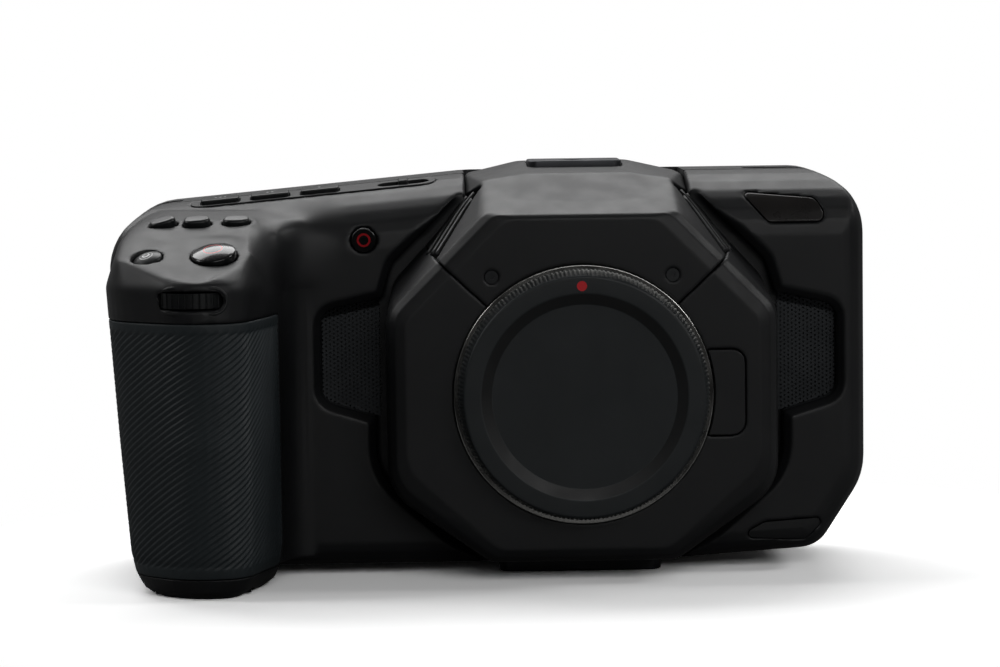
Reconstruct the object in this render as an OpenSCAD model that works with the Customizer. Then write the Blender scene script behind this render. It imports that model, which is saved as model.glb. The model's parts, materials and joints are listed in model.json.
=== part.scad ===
// Hand-held digital cinema camera with a round bayonet lens mount and a body cap.
// Lengths are in millimetres. X runs to the right seen from the front, Y to the back, Z up.
// The origin is the mouth of the tripod thread. The lens axis lies in the plane X = 0.

/* [Body] */
// Distance from the lens axis to the grip side, measured at the top
body_left = 111; // [106:1:116]
// Distance from the lens axis to the port side
body_right = 67; // [65:1:72]
// Height of the top face beside the hump
body_height = 93.6; // [92:0.5:98]
// Distance from the tripod thread forward to the front face
front_depth = 14; // [13:0.5:16]
// Distance from the tripod thread back to the rear face
back_depth = 33; // [32:0.5:38]
// Space under the housing
underside = 2.6; // [2.2:0.1:3.2]
// Wall of the housing
wall = 2.4; // [2:0.1:3]
// Rounding of the front and rear edges
edge_r = 5.5; // [4:0.5:7]
// Height of the upper part of the front face, which leans back
brow_h = 14.6; // [12:0.2:17]
// Lean of the grip side, in degrees
side_lean = 4.5; // [3:0.5:6]
// Fall of the top face towards the grip, in degrees
top_fall = 5.1; // [4:0.1:6]

/* [Grip] */
// Distance from the tripod thread forward to the nose of the grip
grip_nose = 49.5; // [47:0.5:53]
// Distance from the lens axis to the inner side of the grip
grip_inner = 69.4; // [68.4:0.2:70.4]
// Thickness of the rubber skin
skin = 1.4; // [1:0.1:1.8]
// Distance from the top face down to the upper edge of the rubber
rubber_drop = 30.8; // [29.8:0.2:33]
// Height of the foot that closes the grip
foot_h = 4.8; // [4:0.2:6]

/* [Surround and hump] */
// Height of the lens axis
axis_z = 44; // [43:0.5:46]
// Distance from the tripod thread forward to the face of the surround
face_depth = 30; // [28:0.5:32]
// Half width of the flat face
face_half = 40.6; // [39:0.2:42]
// Half width of the skirt behind the face
skirt_half = 45; // [44:0.5:46]
// Height of the crown of the hump over the top face
crown_rise = 2.2; // [1.6:0.2:5]
// Half width of the hump where it meets the top face
hump_half = 26; // [24:0.5:28]
// Width of the channel round the surround
channel_w = 3; // [2:0.2:3.6]
// Distance from the tripod thread forward to the floor of the channel
channel_floor = 8; // [7:0.5:9]

/* [Lens mount] */
// Radius of the mount ring
ring_r = 29.7; // [29:0.1:30.5]
// Distance from the tripod thread forward to the seat of the lens
seat_depth = 31; // [30.8:0.1:32]
// Radius of the throat
throat_r = 19.2; // [18.6:0.1:19.6]
// Distance from the seat of the lens back to the image plane
flange_distance = 19.25; // [18.5:0.25:20]

/* [Body cap] */
// Radius of the cap
cap_r = 28.9; // [28:0.1:29.5]
// Thickness of the cap in front of the seat
cap_t = 6; // [5:0.5:8]

/* [Controls] */
// Diameter of the record button
record_d = 10.2; // [9:0.2:11]
// Diameter of the stills button
stills_d = 6.8; // [6:0.2:7.4]
// Diameter of the record button on the front
front_record_d = 5.6; // [5:0.2:6]
// Length of the three oval buttons
oval_w = 6.2; // [5.4:0.2:6.6]
// Length of the three function buttons
function_w = 9; // [8:0.2:9.4]
// Radius of the control wheel
wheel_r = 9; // [8:0.2:9.6]
// Thickness of the control wheel
wheel_t = 3.4; // [3:0.1:3.8]
// Width of a button on the back
rear_button_w = 8; // [7:0.2:9]
// Running gap round each button
slip = 0.25; // [0.2:0.05:0.3]

/* [Screen] */
// Width of the screen glass
glass_w = 118; // [112:1:122]
// Height of the screen glass
glass_h = 68; // [64:1:70]
// Distance that the screen frame stands out from the rear face
screen_rise = 2.6; // [2:0.2:3]

/* [Doors] */
// Thickness of the doors over the sockets
door_t = 1.8; // [1.6:0.1:2.2]
// Width of the doors over the sockets
door_w = 18; // [16:0.5:18.5]
// Height of the card door
card_door_h = 46; // [42:1:48]

/* [Power and mounting] */
// Width of the battery
battery_w = 21; // [20:0.2:21.4]
// Depth of the battery
battery_d = 38.4; // [37:0.2:39]
// Height of the battery
battery_h = 56; // [50:1:57]
// Radius of the tripod and accessory threads
thread_r = 3.2; // [2.8:0.1:3.4]
// Depth of the tripod thread
thread_depth = 6.5; // [5:0.5:7]

/* [Hidden] */

// Gap between pieces that meet, overrun of cuts, and thickness of a section in a loft
gap = 0.15;
over = 1;
leaf = 0.05;
// Largest turn of one step of an arc, in degrees, on outer forms and on hidden ones
arc_step = 9;
coarse_step = 24;

// Colours
shell_colour = [0.10, 0.10, 0.11];
rubber_colour = [0.13, 0.14, 0.15];
button_colour = [0.05, 0.05, 0.05];
steel_colour = [0.75, 0.75, 0.74];
board_colour = [0.08, 0.30, 0.16];
metal_colour = [0.55, 0.56, 0.58];

function unit(v) = v / norm(v);
function flip(p) = [-p[0], p[1], p[2]];
function reversed(l) = [for (i = [len(l) - 1 : -1 : 0]) l[i]];

// Outline from corners [x, y, radius], each rounded by an arc
function rounded(c, step = coarse_step) = [
  for (i = [0 : len(c) - 1]) each corner(c[(i + len(c) - 1) % len(c)], c[i], c[(i + 1) % len(c)], step)
];
function corner(before, at, after, step) =
  let (
    p = [at[0], at[1]],
    u = unit([before[0], before[1]] - p),
    v = unit([after[0], after[1]] - p),
    half = acos(u * v) / 2,
    middle = p + unit(u + v) * at[2] / sin(half),
    start = p + u * at[2] / tan(half) - middle,
    left_turn = u[1] * v[0] - u[0] * v[1] > 0,
    sweep = (left_turn ? 1 : -1) * (180 - 2 * half),
    steps = max(1, ceil(abs(sweep) / step)),
    from = atan2(start[1], start[0])
  )
  at[2] == 0 ? [p] : [
    for (i = [0 : steps])
      let (a = from + sweep * i / steps) middle + at[2] * [cos(a), sin(a)]
  ];
// Closed outline, anticlockwise, from the corners of its right half, top corner first
function symmetrical(c) = rounded(concat(reversed(c), [for (p = c) flip(p)]), arc_step);
function blend(a, b, t) = [for (i = [0 : len(a) - 1]) a[i] * (1 - t) + b[i] * t];
function box_corners(w, h, r) = [[-w / 2, -h / 2, r], [w / 2, -h / 2, r], [w / 2, h / 2, r], [-w / 2, h / 2, r]];

// Prisms along each axis, from a flat outline
module along_x(from, to) translate([from, 0, 0]) rotate([90, 0, 90]) linear_extrude(to - from) children();
module along_y(from, to) translate([0, to, 0]) rotate([90, 0, 0]) linear_extrude(to - from) children();
module along_z(from, to) translate([0, 0, from]) linear_extrude(to - from) children();
module plate(w, h, r) polygon(rounded(box_corners(w, h, r)));
module ring(outer, inner) {
  difference() {
    circle(r = outer, $fn = 96);
    circle(r = inner, $fn = 96);
  }
}
module both_sides() {
  children();
  mirror([1, 0, 0]) children();
}
module block(low, high) translate(low) cube(high - low);

// Body outline, seen from the front
function side_x(z) = -body_left + (body_height - z) * tan(side_lean);
function top_z(x) = body_height + (x + hump_half) * tan(top_fall);
foot_corner_r = 9;
flat_end_x = 20;
rise_x = 11;
rise_z = 2.4;
rise_r = 30;
small_r = 8;
corner_z = 22;
corner_r = 16;
top_r = 14;
shoulder_r = 15;
body_corners = [
  [side_x(underside), underside, foot_corner_r],
  [flat_end_x, underside, rise_r],
  [body_right - rise_x, underside + rise_z, small_r],
  [body_right, corner_z, corner_r],
  [body_right, body_height, top_r],
  [-hump_half, body_height, rise_r],
  [side_x(top_z(side_x(body_height))), top_z(side_x(body_height)), shoulder_r]
];

// Loft of the body along Y, with rounded edges and a front face that rolls back into the top face
brow_depth = 22;
brow_shape_share = 2.2;
edge_shares = [0, 0.076, 0.293, 0.617];
brow_shares = [0.43, 0.63, 0.82];
brow_ease = 0.1;
far = 200;
function edge_inset(d) = d < edge_r ? edge_r - sqrt(edge_r * edge_r - (edge_r - d) * (edge_r - d)) : 0;
function brow_drop(d) =
  d < brow_depth ? brow_h * (1 - pow(1 - pow(1 - d / brow_depth, brow_shape_share), 1 / brow_shape_share)) : 0;
module body_outline(inset) offset(delta = -inset) polygon(rounded(body_corners, arc_step));
// Everything under a line that runs along the top face at the given height and falls with it
module under_top(height) {
  polygon([
    [-far, -far], [far, -far], [far, height], [-hump_half, height], [-far, height - (far - hump_half) * tan(top_fall)]
  ]);
}
module brow_section(d, inset) {
  intersection() {
    body_outline(inset + edge_inset(d));
    under_top(body_height - brow_drop(d) - inset);
  }
}
module body_form(inset = 0) {
  front = -front_depth + inset;
  back = back_depth - inset;
  hull() {
    for (d = edge_r * edge_shares) {
      along_y(front + d, front + d + leaf) brow_section(d, inset + brow_ease / 2);
      along_y(back - d - leaf, back - d) body_outline(inset + edge_inset(d));
    }
    along_y(front + edge_r, front + edge_r + leaf) brow_section(edge_r, inset + brow_ease / 2);
    for (d = brow_depth * brow_shares)
      along_y(front + d, front + d + leaf) brow_section(d, inset + brow_ease);
    along_y(front + brow_depth, back - edge_r) body_outline(inset);
  }
}

// Loft of the grip along Z, closed by the sloping deck with the buttons
grip_back = 7.5;
grip_tuck = 0.4;
grip_shoulder = 36.5;
shoulder_round = 16;
nose_x = 90.5;
nose_out = 1.8;
nose_round = 16;
cheek_x = 76.6;
cheek_in = 0.6;
cheek_round = 9;
palm_x = 1;
palm_y = 27;
palm_round = 20;
strip_y = 22;
function grip_plan(z, back_off) = rounded([
  [side_x(z) + grip_tuck, grip_back, 0],
  [side_x(z) + grip_tuck, -grip_shoulder, shoulder_round],
  [-nose_x, -grip_nose - nose_out + back_off, nose_round],
  [-cheek_x, -grip_nose + cheek_in + back_off, cheek_round],
  [-grip_inner - palm_x, -palm_y, palm_round],
  [-grip_inner, -strip_y, 0],
  [-grip_inner, grip_back, 0]
], arc_step);
// Sections of the grip: height, inset and distance that the nose draws back
grip_waist_z = 35;
lip_drop = 23.4;
rubber_top = body_height - rubber_drop;
lip_z = body_height - lip_drop;
grip_sections = [
  [0, 4.6, 3.4], [1.7, 2.3, 3.4], [foot_h, 0.8, 3.4], [foot_h * 2, 0, 3.1], [grip_waist_z, 0, 0],
  [lip_z, 0.2, 0.6], [lip_z + 1.4, 0.7, 0.6], [lip_z + 2.4, 1.7, 0.7]
];
// Sections of the deck: height over the lip, left end, front at the left, front at the right, right end
deck_edge = 2.2;
deck_round = 7;
deck_sections = [
  [4.2, -108.6, -41.5, -43.9, -80.5], [6.2, -107.9, -35.5, -38.7, -76.4], [9.3, -106, -27.5, -30.8, -74.3],
  [11.8, -104.3, -21.5, -24.4, -73.7], [13.9, -101.8, -15.5, -19, -71.8], [15.8, -97.8, -4.8, -9.8, -68.4]
];
module deck_outline(s) {
  polygon(rounded([
    [s[1], grip_back, 0], [s[1], s[2], deck_round], [s[4], s[3], over], [s[4] + deck_edge, grip_back, 0]
  ], arc_step));
}
module grip_form(inset = 0) {
  hull() {
    for (s = grip_sections)
      along_z(s[0], s[0] + leaf) offset(delta = -inset - s[1]) polygon(grip_plan(s[0], s[2]));
    for (s = deck_sections)
      along_z(lip_z + s[0] - inset, lip_z + s[0] - inset + leaf) intersection() {
        offset(delta = -inset - deck_edge) polygon(grip_plan(lip_z, 0));
        offset(delta = -inset) deck_outline(s);
      }
  }
}
// Hollow sweep between the inner side of the grip and the front face, and its sloping end under the deck
valley_r = 7.2;
valley_top = 11.6;
valley_y = 24.4;
valley_rise = 3.6;
module valley() {
  middle = [-grip_inner + valley_r, -front_depth - valley_r];
  intersection() {
    along_z(foot_h + gap, far) polygon(concat(
      [[middle[0], -front_depth + wall], [-grip_inner - over, -front_depth + wall], [-grip_inner - over, middle[1]]],
      [for (a = [180 : -arc_step : 90]) middle + valley_r * [cos(a), sin(a)]]
    ));
    along_x(-far, far) polygon([
      [-far, -far], [far, -far], [far, lip_z + valley_top + valley_rise],
      [-front_depth + wall, lip_z + valley_top + valley_rise],
      [-valley_y, lip_z + valley_top], [-far, lip_z + valley_top - far]
    ]);
  }
}
// Strip of the inner side that belongs to the shell, beside the rubber
strip_w = 7.3;
strip_past = 0.6;
module shell_strip(grow = 0) {
  block([-grip_inner - strip_w - grow, -strip_y - strip_past - grow, foot_h - over], [far, far, rubber_top + over]);
}

// Outlines of the surround, corners of the right half from the top: face, skirt and back
face_corners = [
  [17.2, 84.3, 5], [face_half, 61, 5], [face_half, 27, 9], [19.5, 8.2, 5]
];
skirt_corners = [
  [22.6, 86, 4], [skirt_half, 63.5, 7], [skirt_half, 21.5, 12], [21.5, 4.9, 5]
];
back_corners = [
  [22, 92.2, 3], [skirt_half - 1.4, 68.6, 7], [skirt_half, 21.5, 12], [21.5, 4.9, 5]
];
skirt_depth = 4.5;
shade_back = 1;
round_shares = [0, 0.15, 0.5, 1];
module surround_form(inset = 0) {
  hull() {
    for (t = round_shares)
      along_y(-face_depth + inset + skirt_depth * t, -face_depth + inset + skirt_depth * t + leaf)
        offset(delta = -inset) polygon(symmetrical(blend(face_corners, skirt_corners, sqrt(t * (2 - t)))));
    along_y(-channel_floor - shade_back, -channel_floor)
      offset(delta = -inset) polygon(symmetrical(back_corners));
  }
}
// Crown of the hump: distance behind the tripod thread and corners of the right half
crown_z = body_height + crown_rise;
hump_back = 27;
hump_drop = 5.6;
hump_floor = body_height - hump_drop;
crown_r = 8;
hump_sections = [
  [-face_depth + 2, [[10, crown_z - 10.9, 5], [17, crown_z - 11.3, 1], [17, crown_z - 15.8, 0]]],
  [-channel_floor - shade_back, [[12, crown_z - 2, crown_r], [22, crown_z - 3.5, 2], [hump_half, hump_floor, 0]]],
  [6, [[13, crown_z, crown_r], [hump_half, crown_z - 3, 2], [hump_half, hump_floor, 0]]],
  [hump_back - 5, [[13, crown_z, crown_r], [hump_half, crown_z - 3, 2], [hump_half, hump_floor, 0]]],
  [hump_back, [[12, crown_z - 1.6, crown_r], [hump_half - 1, crown_z - 3.8, 2], [hump_half - 1, hump_floor, 0]]]
];
module hump_form(inset = 0) {
  hull() {
    for (s = hump_sections)
      along_y(min(s[0], hump_back - inset) - leaf, min(s[0], hump_back - inset))
        translate([0, -inset]) offset(delta = -inset) polygon(symmetrical(s[1]));
  }
}
seam_turn = 43;
module seam_wedge(open = 0) {
  along_y(-face_depth - over, hump_back + over)
    polygon([
      [0, axis_z + open],
      [far, axis_z + open + far * tan(seam_turn)],
      [-far, axis_z + open + far * tan(seam_turn)]
    ]);
}

split_y = 8;
module front_half() {
  intersection() {
    children();
    block([-far, -far, -far], [far, split_y, far]);
  }
}
module rear_half() {
  intersection() {
    children();
    block([-far, split_y + gap, -far], [far, far, far]);
  }
}

// Room inside the body, to the right of the solid grip side
room_left = 64;
// Its top follows the front face: depth behind the front and height under the top face
room_steps = [[0, 17.4], [1.6, 11.4], [4, 8], [8, 5.2], [14, 3.4], [22, 0]];
module body_room() {
  difference() {
    intersection() {
      along_y(-front_depth + wall, back_depth - wall) difference() {
        offset(delta = -wall - over) polygon(rounded(body_corners));
        translate([-far - room_left, -far]) square([far, 2 * far]);
      }
      along_x(-far, far) polygon(concat(
        [for (p = room_steps) [-front_depth + wall + p[0], body_height - p[1]]], [[far, body_height], [far, -far], [-front_depth + wall, -far]]
      ));
    }
    along_y(-far, -channel_floor + wall) offset(delta = wall) opening_outline();
    block([-hump_half - wall, -far, hump_floor - wall], [hump_half + wall, far, far]);
  }
}
pocket_corners = [[44, 66, 2], [60.3, 62.4, 4], [60.3, 41.6, 4], [44, 36.6, 2]];
module pocket_outline() both_sides() polygon(rounded(reversed(pocket_corners)));
// Opening of the channel, corners of the right half from the top
opening_corners = [
  [25, 92, 1], [43.6, 73.4, 5], [skirt_half + channel_w - 0.4, 60, 4], [skirt_half + channel_w - 0.4, 24, 14],
  [22.4, 4.9 - channel_w, 5]
];
module opening_outline() {
  polygon(symmetrical(opening_corners));
  pocket_outline();
}
module opening_bevel() {
  hull() {
    along_y(-front_depth - leaf, -front_depth) offset(delta = bevel) polygon(symmetrical(opening_corners));
    along_y(-front_depth + bevel, -front_depth + bevel + leaf) polygon(symmetrical(opening_corners));
  }
}
bevel = 1.8;
module pocket_bevel() {
  hull() {
    along_y(-front_depth - leaf, -front_depth) offset(delta = bevel) polygon(rounded(reversed(pocket_corners)));
    along_y(-front_depth + bevel, -front_depth + bevel + leaf) polygon(rounded(reversed(pocket_corners)));
  }
}
frame_w = 64;
frame_h = 60;
frame_r = 10;
frame_rim = 5;
module frame_hole() {
  along_y(-far, 0) translate([0, axis_z]) plate(frame_w - 2 * frame_rim, frame_h - 2 * frame_rim, frame_r - frame_rim);
}

// Places and leans of the controls on the deck, heights over the lip
deck_lean = 21.3;
record_at = [-83.5, -35.2, lip_z + 7];
record_roll = -7;
stills_at = [-98.6, -34.8, lip_z + 6.5];
stills_roll = -17;
oval_at = [[-96.1, -17.6, lip_z + 13.7], [-88.2, -18.6, lip_z + 13.9], [-79.1, -18.6, lip_z + 13.9]];
oval_lean = 17;
oval_roll = [-14, -4, -1];
oval_d = 4;
button_depth = 3.4;
record_rise = 0.9;
dome = 1;
press = 0.8;
// Shallow dish of the deck round the record button, from its place
dish_corners = [[-60, -15, 0], [-3, -15, 6], [6.2, -4.5, 6.5], [6.2, 9.6, 6], [-60, 9.6, 0]];
dish_slope = 2.4;
dish_h = 1.2;
module at_deck(place, lean, roll) translate(place) rotate([0, roll, 0]) rotate([lean, 0, 0]) children();
module oval_room(i) {
  at_deck(oval_at[i], oval_lean, oval_roll[i])
    translate([0, 0, -button_depth]) linear_extrude(button_depth + 2 * over) plate(oval_w + 2 * slip, oval_d + 2 * slip, oval_d / 2);
}
module button_room(d) translate([0, 0, -button_depth]) cylinder(d = d + 2 * slip, h = button_depth + over + over, $fn = 48);

// Strip of function buttons and the power switch on the top face
inlay_x = -61.8;
inlay_w = 58;
inlay_d = 7.2;
inlay_y = 1.5;
inlay_t = 1;
inlay_lean = 8.7;
inlay_sink = 0.66;
function_from = -22;
function_pitch = 11.8;
function_d = 4.6;
function_rise = 1;
shallow = 2.1;
switch_from = 21.3;
switch_w = 12.2;
switch_d = 4.4;
lever_w = 2.4;
lever_travel = 3.5;
module at_top(along = 0) {
  translate([inlay_x, inlay_y, top_z(inlay_x) - inlay_sink])
    rotate([0, -top_fall, 0]) rotate([inlay_lean, 0, 0]) translate([along, 0, 0]) children();
}
function function_at(i) = function_from + i * function_pitch;

// Control wheel behind its slot on the nose
wheel_x = -87.7;
wheel_drop = 2.2;
wheel_z = lip_z - wheel_drop;
wheel_show = 0.2;
wheel_y = -grip_nose + wheel_r - wheel_show;
stub_r = 1.6;
stub_h = 1.2;
slot_w = 13.6;
slot_r = 2.1;
run = 0.08;
module wheel_room() {
  translate([wheel_x, wheel_y, wheel_z]) {
    cylinder(r = wheel_r + 2 * slip, h = wheel_t + 2 * slip, center = true, $fn = 96);
    cylinder(r = stub_r + run, h = wheel_t + 2 * stub_h + 2 * slip, center = true, $fn = 48);
  }
}

// Battery room and door
battery_x = -87.3;
battery_y = -35.2;
battery_z = 2.8;
well_t = 1;
module battery_room(grow, low, high) {
  block([battery_x - battery_w / 2 - grow, battery_y - grow, low],
    [battery_x + battery_w / 2 + grow, battery_y + battery_d + grow, high]);
}
well_top = battery_z + battery_h + 2.4;

front_record_drop = 14.5;
front_record_at = [-49.9, body_height - front_record_drop];
front_rise = 0.5;
front_record_t = 1.4;

// Tally window on the brow, corners in X and in Z under the top face
tally_corners = [
  [39.4, -4.9, 1.4], [55.5, -6.3, 2.5], [58.2, -11.6, 1.6], [44.4, -11.7, 1.8], [39, -5.6, 0.6]
];
tally_floor = 7.4;
module tally_outline(grow = 0) {
  translate([0, body_height]) offset(delta = grow) polygon(rounded(reversed(tally_corners)));
}
plug_corners = [[36.5, 8.2, 1], [52.5, 7.4, 1], [57.4, 12.6, 1], [43, 11.6, 1]];
plug_t = 2;
module plug_outline(grow = 0) offset(delta = grow) polygon(rounded(plug_corners));

// Strap lugs: place, lean about Y
lug_w = 14;
lug_d = 8;
lug_h = 5.4;
lug_r = 2;
lug_y = 14.5;
lug_x = [-99.6, 48];
lug_lean = [-28, 3];
lug_drop = [3, 0.5];
function lug_z(i) = (i == 0 ? top_z(lug_x[0]) : body_height) - lug_drop[i];
module at_lug(i) translate([lug_x[i], lug_y, lug_z(i)]) rotate([0, lug_lean[i], 0]) children();

module notch() block([-hump_half - gap, -far, hump_floor - gap], [hump_half + gap, hump_back + gap, far]);
module top_cuts() {
  at_top() along_z(-inlay_t, far) plate(inlay_w + 2 * gap, inlay_d + 2 * gap, inlay_d / 2);
  for (i = [0 : 2])
    at_top(function_at(i)) along_z(-shallow, far) plate(function_w + 2 * slip, function_d + 2 * slip, over);
  at_top(switch_from) along_z(-shallow, far) plate(switch_w, switch_d, switch_d / 2);
}

module front_shell() {
  color(shell_colour) difference() {
    union() {
      front_half() body_form();
      intersection() {
        grip_form();
        union() {
          block([-far, -far, rubber_top + gap], [far, split_y, far]);
          shell_strip();
        }
        block([-far, -far, foot_h + gap], [far, split_y, far]);
      }
      intersection() {
        grip_form(skin);
        block([-far, -far, foot_h + gap], [far, split_y, rubber_top + over]);
      }
      valley();
    }
    body_room();
    along_y(-far, -channel_floor) opening_outline();
    both_sides() pocket_bevel();
    opening_bevel();
    frame_hole();
    notch();
    top_cuts();
    foot_room();
    battery_room(well_t + 2 * gap, -far, well_top + gap);
    wheel_room();
    translate([wheel_x, 0, wheel_z]) along_y(-far, wheel_y) plate(slot_w, 2 * slot_r, slot_r);
    deck_cuts();
    translate([front_record_at[0], -far, front_record_at[1]])
      rotate([-90, 0, 0]) cylinder(d = front_record_d + 2 * slip, h = far - front_depth + front_record_t + press, $fn = 48);
    along_y(-far, -tally_floor) tally_outline(gap);
    along_y(-far, -front_depth + plug_t) plug_outline(gap);
    tripod_hole();
    screw_holes();
  }
}
module deck_cuts() {
  at_deck(record_at, deck_lean, record_roll) button_room(record_d);
  at_deck(record_at, deck_lean, 0) hull() {
    along_z(0, leaf) polygon(rounded(dish_corners));
    along_z(dish_h, dish_h + leaf) offset(delta = 2 * dish_slope) polygon(rounded(dish_corners));
  }
  at_deck(stills_at, deck_lean, stills_roll) button_room(stills_d);
  for (i = [0 : 2]) oval_room(i);
}
module foot_room() {
  block([-far, -far, -far], [-grip_inner + 2 * gap, split_y + over, underside + leaf]);
}

screen_x = -2;
screen_z = 49;
screen_border = 2.5;
screen_r = 5;
glass_t = 1.6;
panel_t = 3;
module at_screen() translate([screen_x, 0, screen_z]) children();

rear_button_x = [-70.5, -82.5, -70.5, -82.5, -72, -72];
rear_z_shares = [0.855, 0.855, 0.726, 0.726, 0.534, 0.406];
rear_button_h = 6;
rear_rise = 0.9;
module at_rear(i) translate([rear_button_x[i], back_depth, body_height * rear_z_shares[i]]) children();
module rear_button_outline(grow) plate(rear_button_w + 2 * grow, rear_button_h + 2 * grow, rear_button_h / 2);

// Doors over the sockets: height of the middle and of the door
door_y = 10.8;
port_doors = [[69.5, 15], [52, 17], [34.5, 14]];
door_proud = 0.4;
door_r = 2;
module door_outline(h, grow = 0) translate([door_y + door_w / 2, 0]) plate(door_w + 2 * grow, h + 2 * grow, door_r);
module port_room(i) {
  translate([0, 0, port_doors[i][0]])
    along_x(body_right - door_t, far) door_outline(port_doors[i][1], gap);
}
card_z = 44;
card_room_d = 17;
card_room_w = 15;
module at_card() translate([side_x(card_z), 0, card_z]) rotate([0, -side_lean, 0]) children();

module rear_shell() {
  color(shell_colour) difference() {
    union() {
      rear_half() body_form();
      at_screen() along_y(back_depth - edge_r, back_depth + screen_rise)
        plate(glass_w + 2 * screen_border, glass_h + 2 * screen_border, screen_r);
    }
    body_room();
    at_screen() {
      along_y(back_depth + screen_rise - glass_t - gap, far) plate(glass_w + 2 * gap, glass_h + 2 * gap, screen_r - screen_border);
      along_y(back_depth - 2 * wall, far) plate(glass_w - 2 * wall, glass_h - 2 * wall, screen_r - screen_border);
    }
    notch();
    for (i = [0 : 5])
      at_rear(i) along_y(-button_depth, far) rear_button_outline(slip);
    for (i = [0 : 2]) port_room(i);
    at_card() {
      along_x(-far, door_t) door_outline(card_door_h, gap);
      block([0, door_y + gap, -card_door_h / 2 + over], [card_room_w, door_y + card_room_d, card_door_h / 2 - over]);
    }
    for (i = [0 : 1]) at_lug(i) along_z(-lug_h - gap, far) plate(lug_w + 2 * gap, lug_d + 2 * gap, lug_r);
    tripod_hole();
    socket_holes();
    screw_holes();
  }
}

// Screws through the underside of the rear shell, in X and Y
shell_screw_x = [-58, -34, 32, 50];
shell_screw_y = 24;
screw_head_r = 1.9;
screw_head_t = 1;
shell_screw_r = 1;
shell_screw_l = 4;
function under_z(x) = underside + rise_z * max(0, x - flat_end_x) / (body_right - rise_x - flat_end_x);
module screw_holes() {
  for (x = shell_screw_x) translate([x, shell_screw_y, under_z(x)]) {
    translate([0, 0, -over]) cylinder(r = screw_head_r + gap, h = over + screw_head_t + gap, $fn = 32);
    cylinder(r = shell_screw_r + gap, h = 2 * wall, $fn = 24);
  }
}
module shell_screws() {
  color(metal_colour) for (x = shell_screw_x)
    translate([x, shell_screw_y, under_z(x) + gap]) screw(screw_head_r, screw_head_t, shell_screw_r, shell_screw_l);
}
module screw(head_r, head_t, shank_r, shank_l) {
  difference() {
    union() {
      cylinder(r = head_r, h = head_t, $fn = 32);
      cylinder(r = shank_r, h = head_t + shank_l, $fn = 24);
    }
    translate([0, 0, -over]) cylinder(r = head_r * 0.45, h = head_t * 0.6 + over, $fn = 6);
  }
}

module top_cover() {
  color(shell_colour) difference() {
    union() {
      intersection() {
        surround_form();
        seam_wedge(gap);
      }
      hump_form();
    }
    surround_form(wall);
    hump_form(wall);
    block([-far, -channel_floor, -far], [far, far, hump_floor]);
    ring_hole();
    mic_rooms();
    top_plate_room();
    surround_screw_holes();
  }
}
module mount_surround() {
  color(shell_colour) difference() {
    surround_form();
    surround_form(wall);
    seam_wedge(-gap);
    ring_hole();
    along_y(-face_depth - over, -face_depth + 2 * wall) release_outline(slip);
  }
}
module ring_hole() {
  translate([0, -face_depth - over, axis_z]) rotate([-90, 0, 0]) cylinder(r = ring_r + gap, h = skirt_depth + wall + over, $fn = 128);
}

// Ports of the microphones on the chamfers of the hump
mic_at = [30.2, -14.7, 82];
mic_lean = 12.5;
mic_turn = 140;
mic_l = 25;
mic_w = 8.2;
mic_depth = 2.2;
rib_w = 1.3;
rib_h = 1.2;
rib_share = 0.31;
module at_mic() translate(mic_at) rotate([0, 45, 0]) rotate([mic_lean, 0, 0]) rotate([0, 0, mic_turn]) children();
module mic_rooms() both_sides() at_mic() along_z(-mic_depth, far) plate(mic_l, mic_w, over);
module mic_ports() {
  color(button_colour) intersection() {
    both_sides() at_mic() {
      along_z(-mic_depth + gap, -mic_depth / 2) plate(mic_l - 2 * gap, mic_w - 2 * gap, over);
      for (i = [-1 : 1])
        translate([0, i * mic_w * rib_share, 0])
          along_z(-mic_depth / 2, -mic_depth / 2 + rib_h) plate(mic_l - 2 * over, rib_w, rib_w / 3);
    }
    seam_wedge(2 * gap);
    block([-far, -far, 0], [far, -channel_floor - gap, far]);
  }
}

// Plate with the accessory thread on the crown
top_plate_w = 22;
top_plate_d = 16;
top_plate_y = 8;
top_plate_rise = 0.6;
top_plate_t = 2;
boss_r = 6;
boss_h = 7;
module top_plate_room() {
  translate([0, top_plate_y, 0]) {
    along_z(crown_z - top_plate_t + top_plate_rise - gap, far) plate(top_plate_w + 2 * gap, top_plate_d + 2 * gap, 2 * over);
    translate([0, 0, hump_floor - over]) cylinder(r = boss_r + gap, h = far, $fn = 64);
  }
}
module top_thread_plate() {
  color(metal_colour) translate([0, top_plate_y, crown_z + top_plate_rise]) difference() {
    union() {
      along_z(-top_plate_t, 0) plate(top_plate_w, top_plate_d, 2 * over);
      translate([0, 0, -boss_h]) cylinder(r = boss_r, h = boss_h - over, $fn = 64);
    }
    translate([0, 0, -thread_depth + over]) cylinder(r = thread_r, h = thread_depth, $fn = 64);
  }
}

screw_place = [20.7, 71.1];
cover_head_r = 1.5;
cover_shank_r = 0.9;
cover_screw_l = 7;
module surround_screw_holes() {
  both_sides() translate([screw_place[0], -face_depth - over, screw_place[1]]) rotate([-90, 0, 0]) {
    cylinder(r = cover_head_r + gap, h = over + screw_head_t, $fn = 32);
    cylinder(r = cover_shank_r + gap, h = over + 2 * wall, $fn = 24);
  }
}
module surround_screws() {
  color(metal_colour) both_sides() translate([screw_place[0], -face_depth + 2 * gap, screw_place[1]])
    rotate([-90, 0, 0]) screw(cover_head_r, screw_head_t - 2 * gap, cover_shank_r, cover_screw_l);
}

// Rubber skin, foot, thumb pad and flush plug
module grip_cover() {
  color(rubber_colour) difference() {
    intersection() {
      grip_form();
      block([-far, -far, foot_h + gap], [far, split_y, rubber_top]);
    }
    grip_form(skin);
    body_form();
    shell_strip(gap);
  }
}
foot_x = -grip_inner;
module grip_foot() {
  color(shell_colour) difference() {
    intersection() {
      grip_form();
      block([-far, -far, -far], [far, split_y, foot_h]);
    }
    foot_top_cut();
    battery_room(slip, -far, far);
    battery_door_room();
  }
}
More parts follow.
